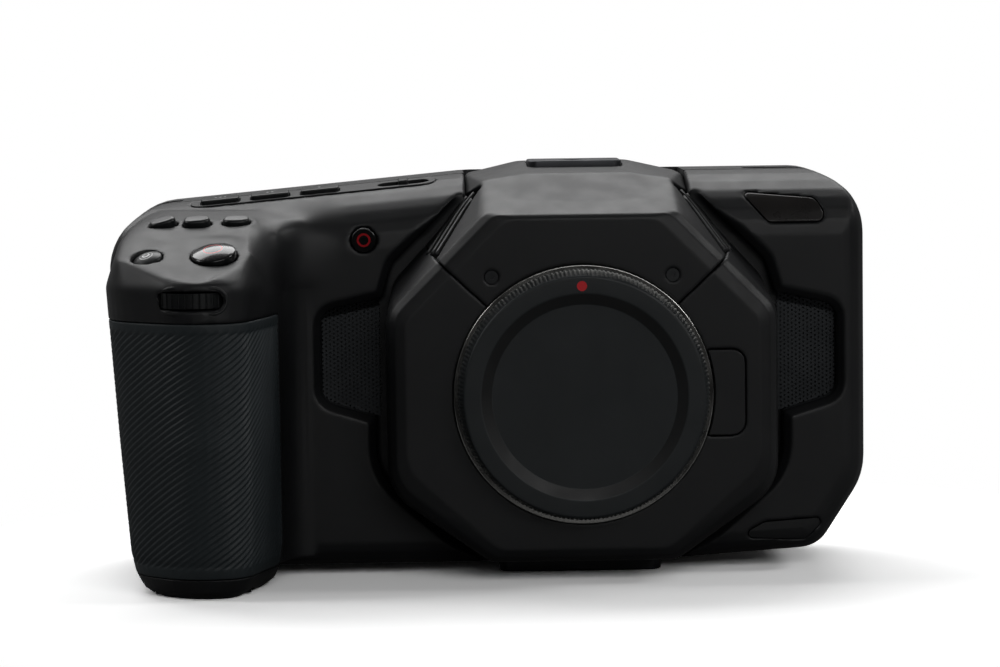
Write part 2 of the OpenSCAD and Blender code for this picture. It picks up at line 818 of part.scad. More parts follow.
// The foot goes under the body, which starts at the height of the underside
module foot_top_cut() {
  block([-far, -front_depth - gap, underside - leaf], [far, far, far]);
}
door_rim = 0.6;
battery_door_t = 2;
door_low = 0.3;
module battery_door_room() {
  block([battery_x - battery_w / 2 - door_rim, battery_y - door_rim, -over],
    [battery_x + battery_w / 2 + door_rim, battery_y + battery_d + door_rim, door_low + battery_door_t + gap]);
  block([battery_x - battery_w / 2 - latch_reach - 2 * gap, latch_y - latch_w / 2 - gap, -over],
    [battery_x, latch_y + latch_w / 2 + gap, door_low + latch_t + gap]);
}
latch_w = 8;
latch_l = 5;
latch_t = 1.1;
latch_reach = 1.8;
latch_y = battery_y + battery_d / 2;
module battery_door() {
  color(shell_colour) difference() {
    block([battery_x - battery_w / 2 - door_rim + slip, battery_y - door_rim + slip, door_low],
      [battery_x + battery_w / 2 + door_rim - slip, battery_y + battery_d + door_rim - slip, door_low + battery_door_t]);
    block([-far, latch_y - latch_w / 2 - gap, -over],
      [battery_x - battery_w / 2 + latch_l + 2 * gap, latch_y + latch_w / 2 + gap, door_low + latch_t + gap]);
  }
}
module battery_latch() {
  color(button_colour)
    block([battery_x - battery_w / 2 - latch_reach, latch_y - latch_w / 2, door_low],
      [battery_x - battery_w / 2 + latch_l - latch_reach, latch_y + latch_w / 2, door_low + latch_t]);
}
thumb_w = 13;
thumb_h = 44;
thumb_x = -91;
thumb_z = 36;
thumb_rise = 2.4;
module thumb_pad() {
  color(rubber_colour) translate([thumb_x, 0, thumb_z]) hull() {
    along_y(back_depth, back_depth + thumb_rise / 2) plate(thumb_w, thumb_h, edge_r);
    along_y(back_depth + thumb_rise - leaf, back_depth + thumb_rise)
      plate(thumb_w - thumb_rise, thumb_h - thumb_rise, edge_r - thumb_rise / 2);
  }
}
module front_plug() {
  color(shell_colour) intersection() {
    body_form();
    along_y(-far, -front_depth + plug_t - gap) plug_outline();
  }
}
module tally_window() {
  color(button_colour) intersection() {
    body_form();
    along_y(-far, -tally_floor - gap) tally_outline();
  }
}

// Bayonet ring with three claws, and the frame behind it
ring_t = 4.6;
claw_t = 1.6;
claw_back = 3.4;
claw_r = 21.4;
groove_r = 22.4;
claw_span = 58;
claw_turns = [90, 210, 330];
screw_circle = 25.6;
mount_screw_turns = [45, 135, 225, 315];
mount_head_r = 1.6;
mount_shank_r = 0.9;
mount_screw_l = 6;
pin_r = 1;
pin_at = 25;
pin_show = 1.2;
function wedge(r, span) = concat([[0, 0]], [for (i = [0 : 4]) 2 * r * [cos(span * (i / 4 - 1 / 2)), sin(span * (i / 4 - 1 / 2))]]);
module at_axis(y) translate([0, y, axis_z]) rotate([-90, 0, 0]) children();
module mount_ring() {
  color(steel_colour) difference() {
    at_axis(-seat_depth) {
      difference() {
        cylinder(r = ring_r, h = ring_t, $fn = 128);
        translate([0, 0, -over]) cylinder(r = claw_r, h = ring_t + 2 * over, $fn = 96);
        translate([0, 0, claw_t]) cylinder(r = groove_r, h = ring_t, $fn = 96);
        for (a = mount_screw_turns) rotate([0, 0, a]) translate([screw_circle, 0, -over]) {
          cylinder(r = mount_head_r + gap, h = over + screw_head_t, $fn = 32);
          cylinder(r = mount_shank_r + gap, h = ring_t + 2 * over, $fn = 24);
        }
        translate([pin_at, 0, -over]) cylinder(r = pin_r + run, h = ring_t + 2 * over, $fn = 32);
      }
      for (a = claw_turns) rotate([0, 0, a]) intersection() {
        linear_extrude(claw_t) ring(claw_r + over / 2, throat_r);
        linear_extrude(claw_t) polygon(wedge(claw_r, claw_span));
      }
    }
  }
}
module mount_screws() {
  color(metal_colour) at_axis(-seat_depth + gap) for (a = mount_screw_turns)
    rotate([0, 0, a]) translate([screw_circle, 0, 0]) screw(mount_head_r, screw_head_t - gap, mount_shank_r, ring_t + mount_screw_l / 2);
}
frame_t = 2.5;
frame_front = -seat_depth + ring_t;
sensor_y = -seat_depth + flange_distance;
glass_cover_t = 1.2;
package_t = 1.6;
frame_plate_y = sensor_y - glass_cover_t - frame_t;
frame_tube_r = 28;
sensor_w = 24;
sensor_h = 18;
post_r = 3;
contact_span = 56;
contact_t = 2;
contact_depth = 3;
module inner_frame() {
  color(metal_colour) difference() {
    union() {
      at_axis(frame_front) cylinder(r = frame_tube_r, h = frame_plate_y - frame_front + leaf, $fn = 128);
      along_y(frame_plate_y, frame_plate_y + frame_t) translate([0, axis_z]) plate(frame_w, frame_h, frame_r);
      along_y(frame_plate_y, -channel_floor) translate([0, axis_z]) difference() {
        plate(frame_w, frame_h, frame_r);
        plate(frame_w - 2 * frame_rim, frame_h - 2 * frame_rim, frame_r - frame_rim);
      }
      both_sides() translate([screw_place[0], -face_depth + wall + gap, screw_place[1]])
        rotate([-90, 0, 0]) cylinder(r = post_r, h = face_depth - wall - gap + frame_plate_y + frame_t, $fn = 32);
    }
    at_axis(frame_front - over) cylinder(r = throat_r, h = frame_plate_y - frame_front + over, $fn = 128);
    along_y(-far, 0) translate([0, axis_z]) plate(sensor_w + 2 * gap, sensor_h + 2 * gap, over);
    at_axis(frame_front - over) {
      for (a = mount_screw_turns) rotate([0, 0, a]) translate([screw_circle, 0, 0])
        cylinder(r = mount_shank_r + gap, h = mount_screw_l + 2 * over, $fn = 24);
      translate([pin_at, 0, 0]) cylinder(r = pin_r + run, h = pin_l, $fn = 32);
      rotate([0, 0, 90]) linear_extrude(contact_depth + over + gap) intersection() {
        ring(throat_r + contact_t + gap, throat_r - over);
        polygon(wedge(throat_r, contact_span));
      }
    }
    both_sides() translate([screw_place[0], -face_depth - over, screw_place[1]])
      rotate([-90, 0, 0]) cylinder(r = cover_shank_r + gap, h = over + screw_head_t + cover_screw_l + over, $fn = 24);
  }
}
module contact_block() {
  color(button_colour) at_axis(frame_front) rotate([0, 0, 90]) linear_extrude(contact_depth) intersection() {
    ring(throat_r + contact_t, throat_r + gap);
    polygon(wedge(throat_r, contact_span - 2));
  }
}
board_t = 1.4;
board_room = 2;
sensor_board_w = frame_w - 2 * frame_rim - 2 * board_room;
sensor_board_h = frame_h - 2 * frame_rim - 2 * board_room;
module sensor_glass() {
  color(button_colour) along_y(sensor_y - glass_cover_t, sensor_y) translate([0, axis_z]) plate(sensor_w + 2, sensor_h + 2, over);
}
module sensor_board() {
  color(board_colour) translate([0, 0, axis_z]) {
    along_y(sensor_y, sensor_y + package_t) plate(sensor_w + 6, sensor_h + 6, over);
    along_y(sensor_y + package_t, sensor_y + package_t + board_t) plate(sensor_board_w, sensor_board_h, over);
  }
}

// Perforated sheets in the two pockets
sheet_t = 0.8;
hole_r = 0.65;
hole_pitch = 2;
sheet_from = skirt_half + channel_w / 2;
sheet_lift = 2;
columns = 5;
rows = 8;
module sheet_outline() {
  offset(delta = -gap) intersection() {
    polygon(rounded(reversed(pocket_corners)));
    translate([sheet_from, -far]) square(2 * far);
  }
}
module grilles() {
  color(metal_colour) both_sides() along_y(-channel_floor - sheet_t, -channel_floor) difference() {
    sheet_outline();
    for (i = [0 : columns], j = [0 : rows])
      translate([sheet_from + (i + 1) * hole_pitch, pocket_corners[2][1] + sheet_lift + (j + (i % 2) / 2) * hole_pitch])
        circle(r = hole_r, $fn = 6);
  }
}

module function_inlay() {
  color(button_colour) at_top() along_z(-inlay_t + gap, 0) difference() {
    plate(inlay_w, inlay_d, inlay_d / 2);
    for (i = [0 : 2])
      translate([function_at(i), 0]) plate(function_w + 2 * slip, function_d + 2 * slip, over);
    translate([switch_from, 0]) plate(switch_w, switch_d, switch_d / 2);
  }
}

// Base plate with the tripod thread and the hole of the locating pin
base_w = 38;
base_front = -8.4;
base_back = 19;
base_boss_r = 7;
base_boss_h = 9;
pin_hole_r = 2.4;
pin_hole_y = 13;
pin_hole_depth = 2;
module tripod_hole() {
  translate([0, 0, -over]) cylinder(r = base_boss_r + gap, h = base_boss_h + over + gap, $fn = 64);
}
module tripod_plate() {
  color(metal_colour) difference() {
    union() {
      along_z(0, underside) translate([0, (base_front + base_back) / 2]) plate(base_w, base_back - base_front, 3 * over);
      cylinder(r = base_boss_r, h = base_boss_h, $fn = 64);
    }
    translate([0, 0, -over]) cylinder(r = thread_r, h = thread_depth + over, $fn = 64);
    translate([0, pin_hole_y, -over]) cylinder(r = pin_hole_r, h = pin_hole_depth + over, $fn = 48);
  }
}

module lcd_glass() {
  color(button_colour) at_screen() along_y(back_depth + screen_rise - glass_t, back_depth + screen_rise) plate(glass_w, glass_h, screen_r - screen_border);
}
module lcd_panel() {
  color([0.2, 0.2, 0.22]) at_screen()
    along_y(back_depth + screen_rise - glass_t - panel_t, back_depth + screen_rise - glass_t) plate(glass_w - 3 * wall, glass_h - 3 * wall, over);
}
socket_l = 10;
port_board_x = body_right - door_t - socket_l - gap;
main_left = 54;
main_clear = 6;
main_right = port_board_x - board_t - main_clear;
main_w = main_left + main_right;
main_h = 66;
panel_back = back_depth + screen_rise - glass_t - panel_t;
main_gap = 8;
main_y = panel_back - main_gap;
standoff_r = 2;
module main_board() {
  color(board_colour) translate([(main_right - main_left) / 2, 0, screen_z]) {
    along_y(main_y, main_y + board_t) plate(main_w, main_h, over);
    for (x = [-1, 1], z = [-1, 1])
      translate([x * (main_w / 2 - 2 * standoff_r), main_y + board_t, z * (main_h / 2 - 2 * standoff_r)])
        rotate([-90, 0, 0]) cylinder(r = standoff_r, h = main_gap - board_t, $fn = 24);
  }
}
sink_y = sensor_y + package_t + board_t;
sink_t = 2;
sink_w = sensor_board_w + board_room;
sink_h = sensor_board_h;
fin_t = 1;
fin_count = 9;
fan_t = 10;
fan_w = 40;
fan_y = main_y - fan_t;
fin_l = fan_y - sink_y - sink_t;
module heat_sink() {
  color(metal_colour) translate([0, 0, axis_z]) {
    along_y(sink_y, sink_y + sink_t) plate(sink_w, sink_h, over);
    for (i = [0 : fin_count - 1])
      along_y(sink_y + sink_t, sink_y + sink_t + fin_l)
        translate([(i - (fin_count - 1) / 2) * (sink_w - 2 * fin_t) / (fin_count - 1), 0]) square([fin_t, sink_h - 2 * over], center = true);
  }
}
fan_bore = 18.4;
hub_r = 8;
axle_r = 1.5;
blade_count = 7;
blade_t = 1;
fan_gap = 0.6;
module at_fan() translate([0, fan_y, axis_z]) rotate([-90, 0, 0]) children();
module fan_housing() {
  color(button_colour) at_fan() {
    difference() {
      linear_extrude(fan_t) plate(fan_w, fan_w, 3 * over);
      translate([0, 0, -over]) cylinder(r = fan_bore, h = fan_t + 2 * over, $fn = 96);
    }
    translate([0, 0, fan_t - over]) {
      linear_extrude(over) difference() {
        union() {
          circle(r = hub_r, $fn = 48);
          square([2 * fan_bore + over, 2 * over], center = true);
          square([2 * over, 2 * fan_bore + over], center = true);
        }
      }
      mirror([0, 0, 1]) cylinder(r = axle_r, h = fan_t - 3 * over - slip, $fn = 32);
    }
  }
}
module fan_rotor() {
  color([0.16, 0.16, 0.17]) at_fan() translate([0, 0, over]) difference() {
    union() {
      cylinder(r = hub_r, h = fan_t - 2 * over - fan_gap, $fn = 48);
      for (i = [0 : blade_count - 1]) rotate([0, 0, i * 360 / blade_count])
        translate([hub_r - over, 0, (fan_t - 2 * over - fan_gap) / 2]) rotate([35, 0, 0])
          translate([0, -blade_t / 2, -fan_t / 4]) cube([fan_bore - hub_r, blade_t, fan_t / 2]);
    }
    translate([0, 0, over]) cylinder(r = axle_r + run, h = fan_t, $fn = 32);
  }
}

module battery_well() {
  color(button_colour) {
    difference() {
      battery_room(well_t, foot_h + gap, well_top);
      battery_room(gap, -far, battery_z + battery_h + gap);
    }
  }
}
module battery() {
  color([0.15, 0.15, 0.16]) difference() {
    battery_room(0, battery_z, battery_z + battery_h);
    for (i = [0 : 3])
      translate([battery_x - battery_w / 4 + i * battery_w / 6, battery_y - over, battery_z + battery_h - 3 * over])
        cube([over, 4 * over, 4 * over]);
  }
}
module card_slots() {
  color(metal_colour) at_card() difference() {
    block([door_t + 2 * over, door_y + 2 * gap, -card_door_h / 2 + over + gap], [card_room_w - gap, door_y + card_room_d - gap, card_door_h / 2 - over - gap]);
    for (s = card_slits)
      block([0, door_y + s[0], -card_door_h / 2 + slit_low], [card_room_w - slit_floor, door_y + s[0] + s[1], -card_door_h / 2 + slit_low + s[2]]);
  }
}
// Slits for the cards: depth behind the hinge, thickness and length
card_slits = [[5, 2.4, 25], [10, 3.6, 37]];
slit_low = 4;
slit_floor = 3;

// Sockets behind the three doors, on a board of their own
socket_y = door_y + door_w / 2;
jack_r = 3.4;
jack_bore = 1.8;
hdmi_w = 5.4;
hdmi_h = 15.2;
lip = 0.45;
xlr_r = 6.4;
xlr_bore = 5.2;
usb_w = 3.4;
usb_h = 9.2;
power_r = 4.2;
module at_socket(z, y = 0) translate([port_board_x, socket_y + y, z]) rotate([0, 90, 0]) children();
jack_z = [port_doors[0][0] + 3.7, port_doors[0][0] - 3.7];
module socket_outlines(grow) {
  for (z = jack_z) at_socket(z) cylinder(r = jack_r + grow, h = socket_l, $fn = 48);
  at_socket(port_doors[1][0], -4.4) linear_extrude(socket_l) plate(hdmi_h + 2 * grow, hdmi_w + 2 * grow, over / 2);
  at_socket(port_doors[1][0], 4.6) linear_extrude(socket_l) plate(usb_h + 2 * grow, usb_w + 2 * grow, usb_w / 3);
  at_socket(port_doors[2][0], 1.6) cylinder(r = xlr_r + grow, h = socket_l, $fn = 64);
}
module socket_holes() translate([over, 0, 0]) socket_outlines(gap);
module port_sockets() {
  color(metal_colour) difference() {
    socket_outlines(0);
    for (z = jack_z) translate([over, 0, 0]) at_socket(z) cylinder(r = jack_bore, h = socket_l, $fn = 32);
    translate([2 * over, 0, 0]) at_socket(port_doors[1][0], -4.4) linear_extrude(socket_l) plate(hdmi_h - 2 * lip, hdmi_w - 2 * lip, over / 2);
    translate([2 * over, 0, 0]) at_socket(port_doors[1][0], 4.6) linear_extrude(socket_l) plate(usb_h - 2 * lip, usb_w - 2 * lip, usb_w / 4);
    translate([3 * over, 0, 0]) at_socket(port_doors[2][0], 1.6) cylinder(r = xlr_bore, h = socket_l, $fn = 64);
  }
}
port_board_h = 52;
module port_board() {
  color(board_colour)
    block([port_board_x - board_t, split_y + over, port_doors[1][0] - port_board_h / 2],
      [port_board_x, back_depth - 2 * wall, port_doors[1][0] + port_board_h / 2]);
}

bar_w = 3.4;
bar_t = 1.5;
lug_wall = 0.9;
module strap_lugs() {
  color(button_colour) for (i = [0 : 1]) at_lug(i) {
    difference() {
      along_z(-lug_h, 0) plate(lug_w, lug_d, lug_r);
      along_z(-lug_h + lug_wall, over) plate(lug_w - 2 * lug_wall, lug_d - 2 * lug_wall, lug_r - lug_wall);
    }
    along_z(-bar_t, 0) square([bar_w, lug_d - lug_wall], center = true);
  }
}

// Cap with a knurled rim and three lugs that pass between the claws
collar_r = 18.8;
collar_t = 1.6;
cap_taper = 1.8;
cap_edge = 0.4;
lug_r_out = 20.9;
lug_span = 40;
cap_gap = 0.15;
knurl_count = 90;
knurl_depth = 0.35;
face_ring_r = 23.7;
face_step_r = 21.1;
step_depth = 0.8;
function knurl(n) = [
  for (i = [0 : 2 * n - 1]) (cap_r - (i % 2) * knurl_depth) * [cos(i * 180 / n), sin(i * 180 / n)]
];
module body_cap() {
  color(button_colour) difference() {
    at_axis(-seat_depth - cap_t) {
      intersection() {
        linear_extrude(cap_t - cap_gap) polygon(knurl(knurl_count));
        union() {
          cylinder(r1 = cap_r - cap_taper - cap_edge, r2 = cap_r - cap_taper, h = cap_edge, $fn = 96);
          translate([0, 0, cap_edge]) cylinder(r1 = cap_r - cap_taper, r2 = cap_r, h = cap_t - cap_edge, $fn = 96);
        }
      }
      difference() {
        cylinder(r = collar_r, h = cap_t + ring_t - 2 * gap, $fn = 96);
        translate([0, 0, cap_t / 2]) cylinder(r = collar_r - collar_t, h = cap_t + ring_t, $fn = 96);
      }
      for (a = claw_turns) rotate([0, 0, a + 60]) translate([0, 0, cap_t + claw_t + gap]) intersection() {
        linear_extrude(claw_t) ring(lug_r_out, collar_r - collar_t / 2);
        linear_extrude(claw_t) polygon(wedge(claw_r, lug_span));
      }
    }
    at_axis(-seat_depth - cap_t - over) {
      translate([0, 0, over]) cylinder(r1 = face_ring_r, r2 = face_step_r, h = step_depth, $fn = 96);
      cylinder(r = face_ring_r, h = over + leaf, $fn = 96);
      translate([pin_at, 0, cap_t - pin_show]) cylinder(r = pin_r + slip, h = far, $fn = 32);
    }
  }
}

// Lens release: the button and the pin that it draws back
release_right = 37;
release_h = 19.6;
release_r = 3;
release_travel = 1.2;
release_t = 2.6;
release_proud = 0.8;
release_left = 24;
module release_outline(grow = 0) {
  difference() {
    offset(delta = grow) polygon(rounded([
      [release_left, axis_z - release_h / 2, 0],
      [release_right, axis_z - release_h / 2, release_r],
      [release_right, axis_z + release_h / 2, release_r],
      [release_left, axis_z + release_h / 2, 0]
    ]));
    translate([0, axis_z]) circle(r = ring_r + gap + slip, $fn = 128);
  }
}
module release_button() {
  color(button_colour) along_y(-face_depth - release_proud, -face_depth + release_t) release_outline();
}
pin_l = ring_t + 7;
module lock_pin() {
  color(steel_colour) at_axis(-seat_depth - pin_show) translate([pin_at, 0, 0]) cylinder(r = pin_r, h = ring_t + pin_show + 3, $fn = 32);
}

// Round button with a domed face
function dome_r(d) = (d * d / 4 + dome * dome) / (2 * dome);
module round_button(d, rise) {
  intersection() {
    translate([0, 0, -button_depth + press + slip]) cylinder(d = d, h = far, $fn = 64);
    translate([0, 0, rise + dome - dome_r(d)]) sphere(r = dome_r(d), $fn = 128);
  }
}
module record_button() color(button_colour) at_deck(record_at, deck_lean, record_roll) round_button(record_d, record_rise);
module stills_button() color(button_colour) at_deck(stills_at, deck_lean, stills_roll) round_button(stills_d, 0);
module oval_button(i) {
  color(button_colour) at_deck(oval_at[i], oval_lean, oval_roll[i])
    translate([0, 0, -button_depth + press + slip]) linear_extrude(button_depth - press - slip + record_rise) plate(oval_w, oval_d, oval_d / 2);
}
module function_button(i) {
  color(button_colour) at_top(function_at(i)) along_z(-shallow + 2 * slip + gap, function_rise) plate(function_w, function_d, over);
}
module front_record_button() {
  color(button_colour) translate([front_record_at[0], -front_depth - front_rise, front_record_at[1]])
    rotate([-90, 0, 0]) cylinder(d = front_record_d, h = front_record_t + front_rise, $fn = 48);
}
module power_switch() {
  color(button_colour) at_top(switch_from)
    along_z(-shallow + 2 * slip, function_rise) plate(lever_w, switch_d - 2 * slip, lever_w / 4);
}
module control_wheel() {
  color(button_colour) translate([wheel_x, wheel_y, wheel_z]) {
    linear_extrude(wheel_t, center = true) difference() {
      circle(r = wheel_r, $fn = 96);
      for (i = [0 : 35]) rotate([0, 0, i * 10]) translate([wheel_r, 0]) circle(r = slip, $fn = 8);
    }
    cylinder(r = stub_r, h = wheel_t + 2 * stub_h, center = true, $fn = 48);
  }
}
module card_door() {
  color(shell_colour) at_card() along_x(0, door_t - gap) door_outline(card_door_h);
}
module port_door(i) {
  color(shell_colour) translate([0, 0, port_doors[i][0]])
    along_x(body_right - door_t + gap, body_right + door_proud) door_outline(port_doors[i][1]);
}
module rear_button(i) {
  color(button_colour) at_rear(i) along_y(-button_depth + press + slip, rear_rise) rear_button_outline(0);
}

front_shell();
rear_shell();
top_cover();
mount_surround();
grip_cover();
grip_foot();
thumb_pad();
front_plug();
mount_ring();
mount_screws();
surround_screws();
shell_screws();
contact_block();
inner_frame();
sensor_board();
sensor_glass();
grilles();
mic_ports();
tally_window();
function_inlay();
top_thread_plate();
tripod_plate();
lcd_glass();
lcd_panel();
main_board();
heat_sink();
fan_housing();
fan_rotor();
battery_well();
battery();
card_slots();
port_board();
port_sockets();
strap_lugs();
body_cap();
release_button();
lock_pin();
record_button();
stills_button();
oval_button(0);  // iso_button
oval_button(1);  // shutter_button
oval_button(2);  // balance_button
function_button(0);  // function_button_1
function_button(1);  // function_button_2
function_button(2);  // function_button_3
front_record_button();
power_switch();
control_wheel();
battery_door();
battery_latch();
card_door();
port_door(0);  // audio_door
port_door(1);  // video_door
port_door(2);  // power_door
rear_button(0);  // iris_button
rear_button(1);  // focus_button
rear_button(2);  // frame_rate_button
rear_button(3);  // zoom_button
rear_button(4);  // menu_button
rear_button(5);  // play_button
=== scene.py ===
# %% [markdown]
# # A hand-held cinema camera
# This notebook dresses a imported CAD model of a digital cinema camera. The CAD gives the true places and
# sizes. Here the moulded shells get soft edges, the rubber gets its ribs, and each surface gets its finish.
# Lengths are in metres, X runs right seen from the front, Y to the back and Z up. Places and sizes that are
# read off drawings are written in millimetres and multiplied by MM.

# %% Load the frame
import json
from bisect import bisect_left
from math import atan2, cos, pi, radians, sin, tan

import bmesh
import bpy
from mathutils import Matrix, Vector
from mathutils.bvhtree import BVHTree
from mathutils.geometry import convex_hull_2d


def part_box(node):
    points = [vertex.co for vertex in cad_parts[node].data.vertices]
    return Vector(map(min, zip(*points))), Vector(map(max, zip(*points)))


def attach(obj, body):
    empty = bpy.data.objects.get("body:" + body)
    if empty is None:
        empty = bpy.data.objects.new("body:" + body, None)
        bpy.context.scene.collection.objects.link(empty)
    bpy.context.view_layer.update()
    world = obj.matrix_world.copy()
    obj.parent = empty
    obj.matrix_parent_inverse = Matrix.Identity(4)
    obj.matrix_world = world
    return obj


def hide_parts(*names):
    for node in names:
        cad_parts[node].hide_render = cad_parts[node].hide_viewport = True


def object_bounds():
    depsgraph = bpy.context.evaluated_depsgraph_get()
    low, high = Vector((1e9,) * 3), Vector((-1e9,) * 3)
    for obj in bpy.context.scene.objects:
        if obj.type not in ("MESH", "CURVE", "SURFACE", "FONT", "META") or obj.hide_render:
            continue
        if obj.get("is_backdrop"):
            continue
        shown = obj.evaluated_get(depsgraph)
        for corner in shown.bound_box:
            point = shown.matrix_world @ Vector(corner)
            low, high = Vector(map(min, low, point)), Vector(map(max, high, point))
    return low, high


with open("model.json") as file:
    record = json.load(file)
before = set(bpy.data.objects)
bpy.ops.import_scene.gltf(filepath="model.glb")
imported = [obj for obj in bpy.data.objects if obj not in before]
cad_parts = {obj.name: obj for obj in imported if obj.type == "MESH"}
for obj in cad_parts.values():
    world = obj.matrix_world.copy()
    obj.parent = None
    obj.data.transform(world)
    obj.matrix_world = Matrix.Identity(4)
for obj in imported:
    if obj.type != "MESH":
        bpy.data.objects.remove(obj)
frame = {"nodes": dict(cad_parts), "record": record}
nodes = frame["nodes"]
cad_low, cad_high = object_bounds()
MM = 0.001
print("CAD size in mm:", [round((b - a) / MM, 1) for a, b in zip(cad_low, cad_high)])

# %% [markdown]
# ## Helpers for the finishes
# A colour is written as the hex value seen on a screen and turned into linear light once, here. `add` makes
# one shader node, sets its inputs and joins those that are given as another node's output. This keeps each
# finish a few lines long, however many nodes it needs.


# %% Colours and nodes
def colour(text):
    parts = [int(text[i:i + 2], 16) / 255 for i in (1, 3, 5)]
    return [c / 12.92 if c <= 0.04045 else ((c + 0.055) / 1.055) ** 2.4 for c in parts] + [1]


def add(tree, kind, inputs=(), **settings):
    made = tree.nodes.new(kind)
    for key, value in settings.items():
        setattr(made, key, value)
    for key, value in dict(inputs).items():
        if isinstance(value, bpy.types.NodeSocket):
            tree.links.new(value, made.inputs[key])
        else:
            made.inputs[key].default_value = value
    return made


def new_material(name):
    material = bpy.data.materials.new(name)
    material.use_nodes = True
    tree = material.node_tree
    tree.nodes.clear()
    shader = add(tree, "ShaderNodeBsdfPrincipled")
    output = add(tree, "ShaderNodeOutputMaterial")
    tree.links.new(shader.outputs["BSDF"], output.inputs["Surface"])
    return material, tree, shader


def connect(tree, source, shader, name):
    tree.links.new(source, shader.inputs[name])


# %% [markdown]
# No moulded surface is the same all over. Hands polish it here and there, and the colour of the granulate
# drifts a little. Both are slow noise over patches of a real size. The spark texture of the mould is the
# same noise at the size of a grain, used as relief.

# %% Wear, tint and grain
NOISE_LOW, NOISE_HIGH = 0.35, 0.65      # nearly all values of a noise texture lie between these
TINT_PATCH, WEAR_PATCH = 18 * MM, 6 * MM


def wear(tree, low, high, size):
    """A slow change between two values, over patches of a given size."""
    place = add(tree, "ShaderNodeTexCoord")
    noise = add(tree, "ShaderNodeTexNoise",
                {"Vector": place.outputs["Object"], "Scale": 1 / size, "Detail": 3})
    ramp = add(tree, "ShaderNodeMapRange",
               {"Value": noise.outputs["Fac"], "From Min": NOISE_LOW, "From Max": NOISE_HIGH,
                "To Min": low, "To Max": high})
    return ramp.outputs["Result"]


def tint(tree, dark, light, size):
    """A colour that drifts between two near values."""
    mix = add(tree, "ShaderNodeMix",
              {"Factor": wear(tree, 0, 1, size), "A": colour(dark), "B": colour(light)}, data_type="RGBA")
    return mix.outputs["Result"]


def grain(tree, size, height):
    """The fine relief that a mould's spark texture leaves, from its grain size and height."""
    place = add(tree, "ShaderNodeTexCoord")
    noise = add(tree, "ShaderNodeTexNoise", {"Vector": place.outputs["Object"], "Scale": 1 / size})
    bump = add(tree, "ShaderNodeBump",
               {"Height": noise.outputs["Fac"], "Distance": height, "Strength": 1})
    return bump.outputs["Normal"]


def plastic(name, dark, light, rough_low, rough_high, grain_size=0.0, grain_height=0.0, coat=0.0):
    """A moulded surface; one without a grain size comes from a polished mould."""
    material, tree, shader = new_material(name)
    connect(tree, tint(tree, dark, light, TINT_PATCH), shader, "Base Color")
    connect(tree, wear(tree, rough_low, rough_high, WEAR_PATCH), shader, "Roughness")
    if grain_size:
        connect(tree, grain(tree, grain_size * MM, grain_height * MM), shader, "Normal")
    shader.inputs["Coat Weight"].default_value = coat
    return material


def metal(name, dark, light, rough_low, rough_high):
    material = plastic(name, dark, light, rough_low, rough_high)
    material.node_tree.nodes["Principled BSDF"].inputs["Metallic"].default_value = 1
    return material


# %% [markdown]
# ## Finishes
# The housing is a carbon-filled plastic from a spark-eroded mould: nearly black, with a fine even grain that
# spreads the highlights. Grain size and height are in millimetres. Glass and polished buttons have no grain.

# %% Finishes of the plastics
FINISH = {
    # the spark texture breaks up the highlight, so the top faces turn a soft grey
    "housing": plastic("textured_black_plastic", "#161719", "#1A1B1D", 0.44, 0.5, 0.16, 0.012),
    # soft rubber is a little bluer than the housing and never glossy
    "rubber": plastic("ribbed_grip_rubber", "#2A3134", "#2F3639", 0.52, 0.6, 0.1, 0.006),
    # the cap is a softer, greyer plastic with a satin look
    "cap_plastic": plastic("satin_cap_plastic", "#25292B", "#2A2E30", 0.42, 0.5, 0.12, 0.008),
    # a button from a polished mould mirrors the lamps as a small bright window
    "buttons": plastic("polished_black_button", "#0B0B0C", "#0F0F10", 0.16, 0.22, coat=0.4),
    # a key that fingers use a lot has a half-gloss face
    "satin_key": plastic("satin_black_key", "#17191A", "#1B1D1E", 0.3, 0.38, 0.1, 0.004),
    # small trim parts come from a plain mould, and look a touch greyer
    "trim": plastic("plain_black_moulding", "#1B1C1D", "#212223", 0.4, 0.5, 0.2, 0.008),
    # smoked plastic looks warm and black, with a tight highlight
    "window": plastic("smoked_tally_window", "#1E1C1B", "#262322", 0.26, 0.32),
    # the heads of the screws are painted like the housing around them
    "screws": plastic("black_painted_screw", "#26282A", "#2E3032", 0.32, 0.42, 0.2, 0.004),
    # solder mask is a thin green lacquer over glass fibre
    "boards": plastic("solder_mask_board", "#0E3A22", "#124A2B", 0.3, 0.4, 0.4, 0.01),
    # the back of a display panel is a smooth dark grey sheet
    "panel": plastic("display_panel_back", "#2A2B2D", "#333437", 0.3, 0.4),
    # the case of a battery is a coarser black moulding
    "battery_case": plastic("battery_case_plastic", "#1B1B1D", "#232326", 0.4, 0.5, 0.2, 0.01),
    # a screen that is off is a black mirror
    "glass": plastic("black_screen_glass", "#060607", "#08080A", 0.04, 0.07, coat=1.0),
    # the filter over the sensor has a coating that reflects a dull violet
    "filter": plastic("coated_filter_glass", "#1A0F1E", "#13202A", 0.04, 0.07, coat=1.0),
    # the dot that shows how to fit a lens is a bright matte red
    "red_paint": plastic("red_index_paint", "#EE2A32", "#F4343C", 0.35, 0.4),
}

# %% [markdown]
# The mount ring is turned stainless steel, so it mirrors the lamps as a thin bright line round the cap and
# goes dark below. The frame behind it is cast aluminium with a dark anodised skin, and the contacts of the
# lens are plated with gold.

# %% Finishes of the metals
# turned steel is nearly white, with a narrow highlight along the turning
FINISH["ring_steel"] = metal("turned_stainless_steel", "#DCDBD7", "#E8E7E3", 0.14, 0.2)
# the anodised skin dulls the casting to a dark grey
FINISH["frame_metal"] = metal("anodised_cast_aluminium", "#4A4B4E", "#56575A", 0.35, 0.5)
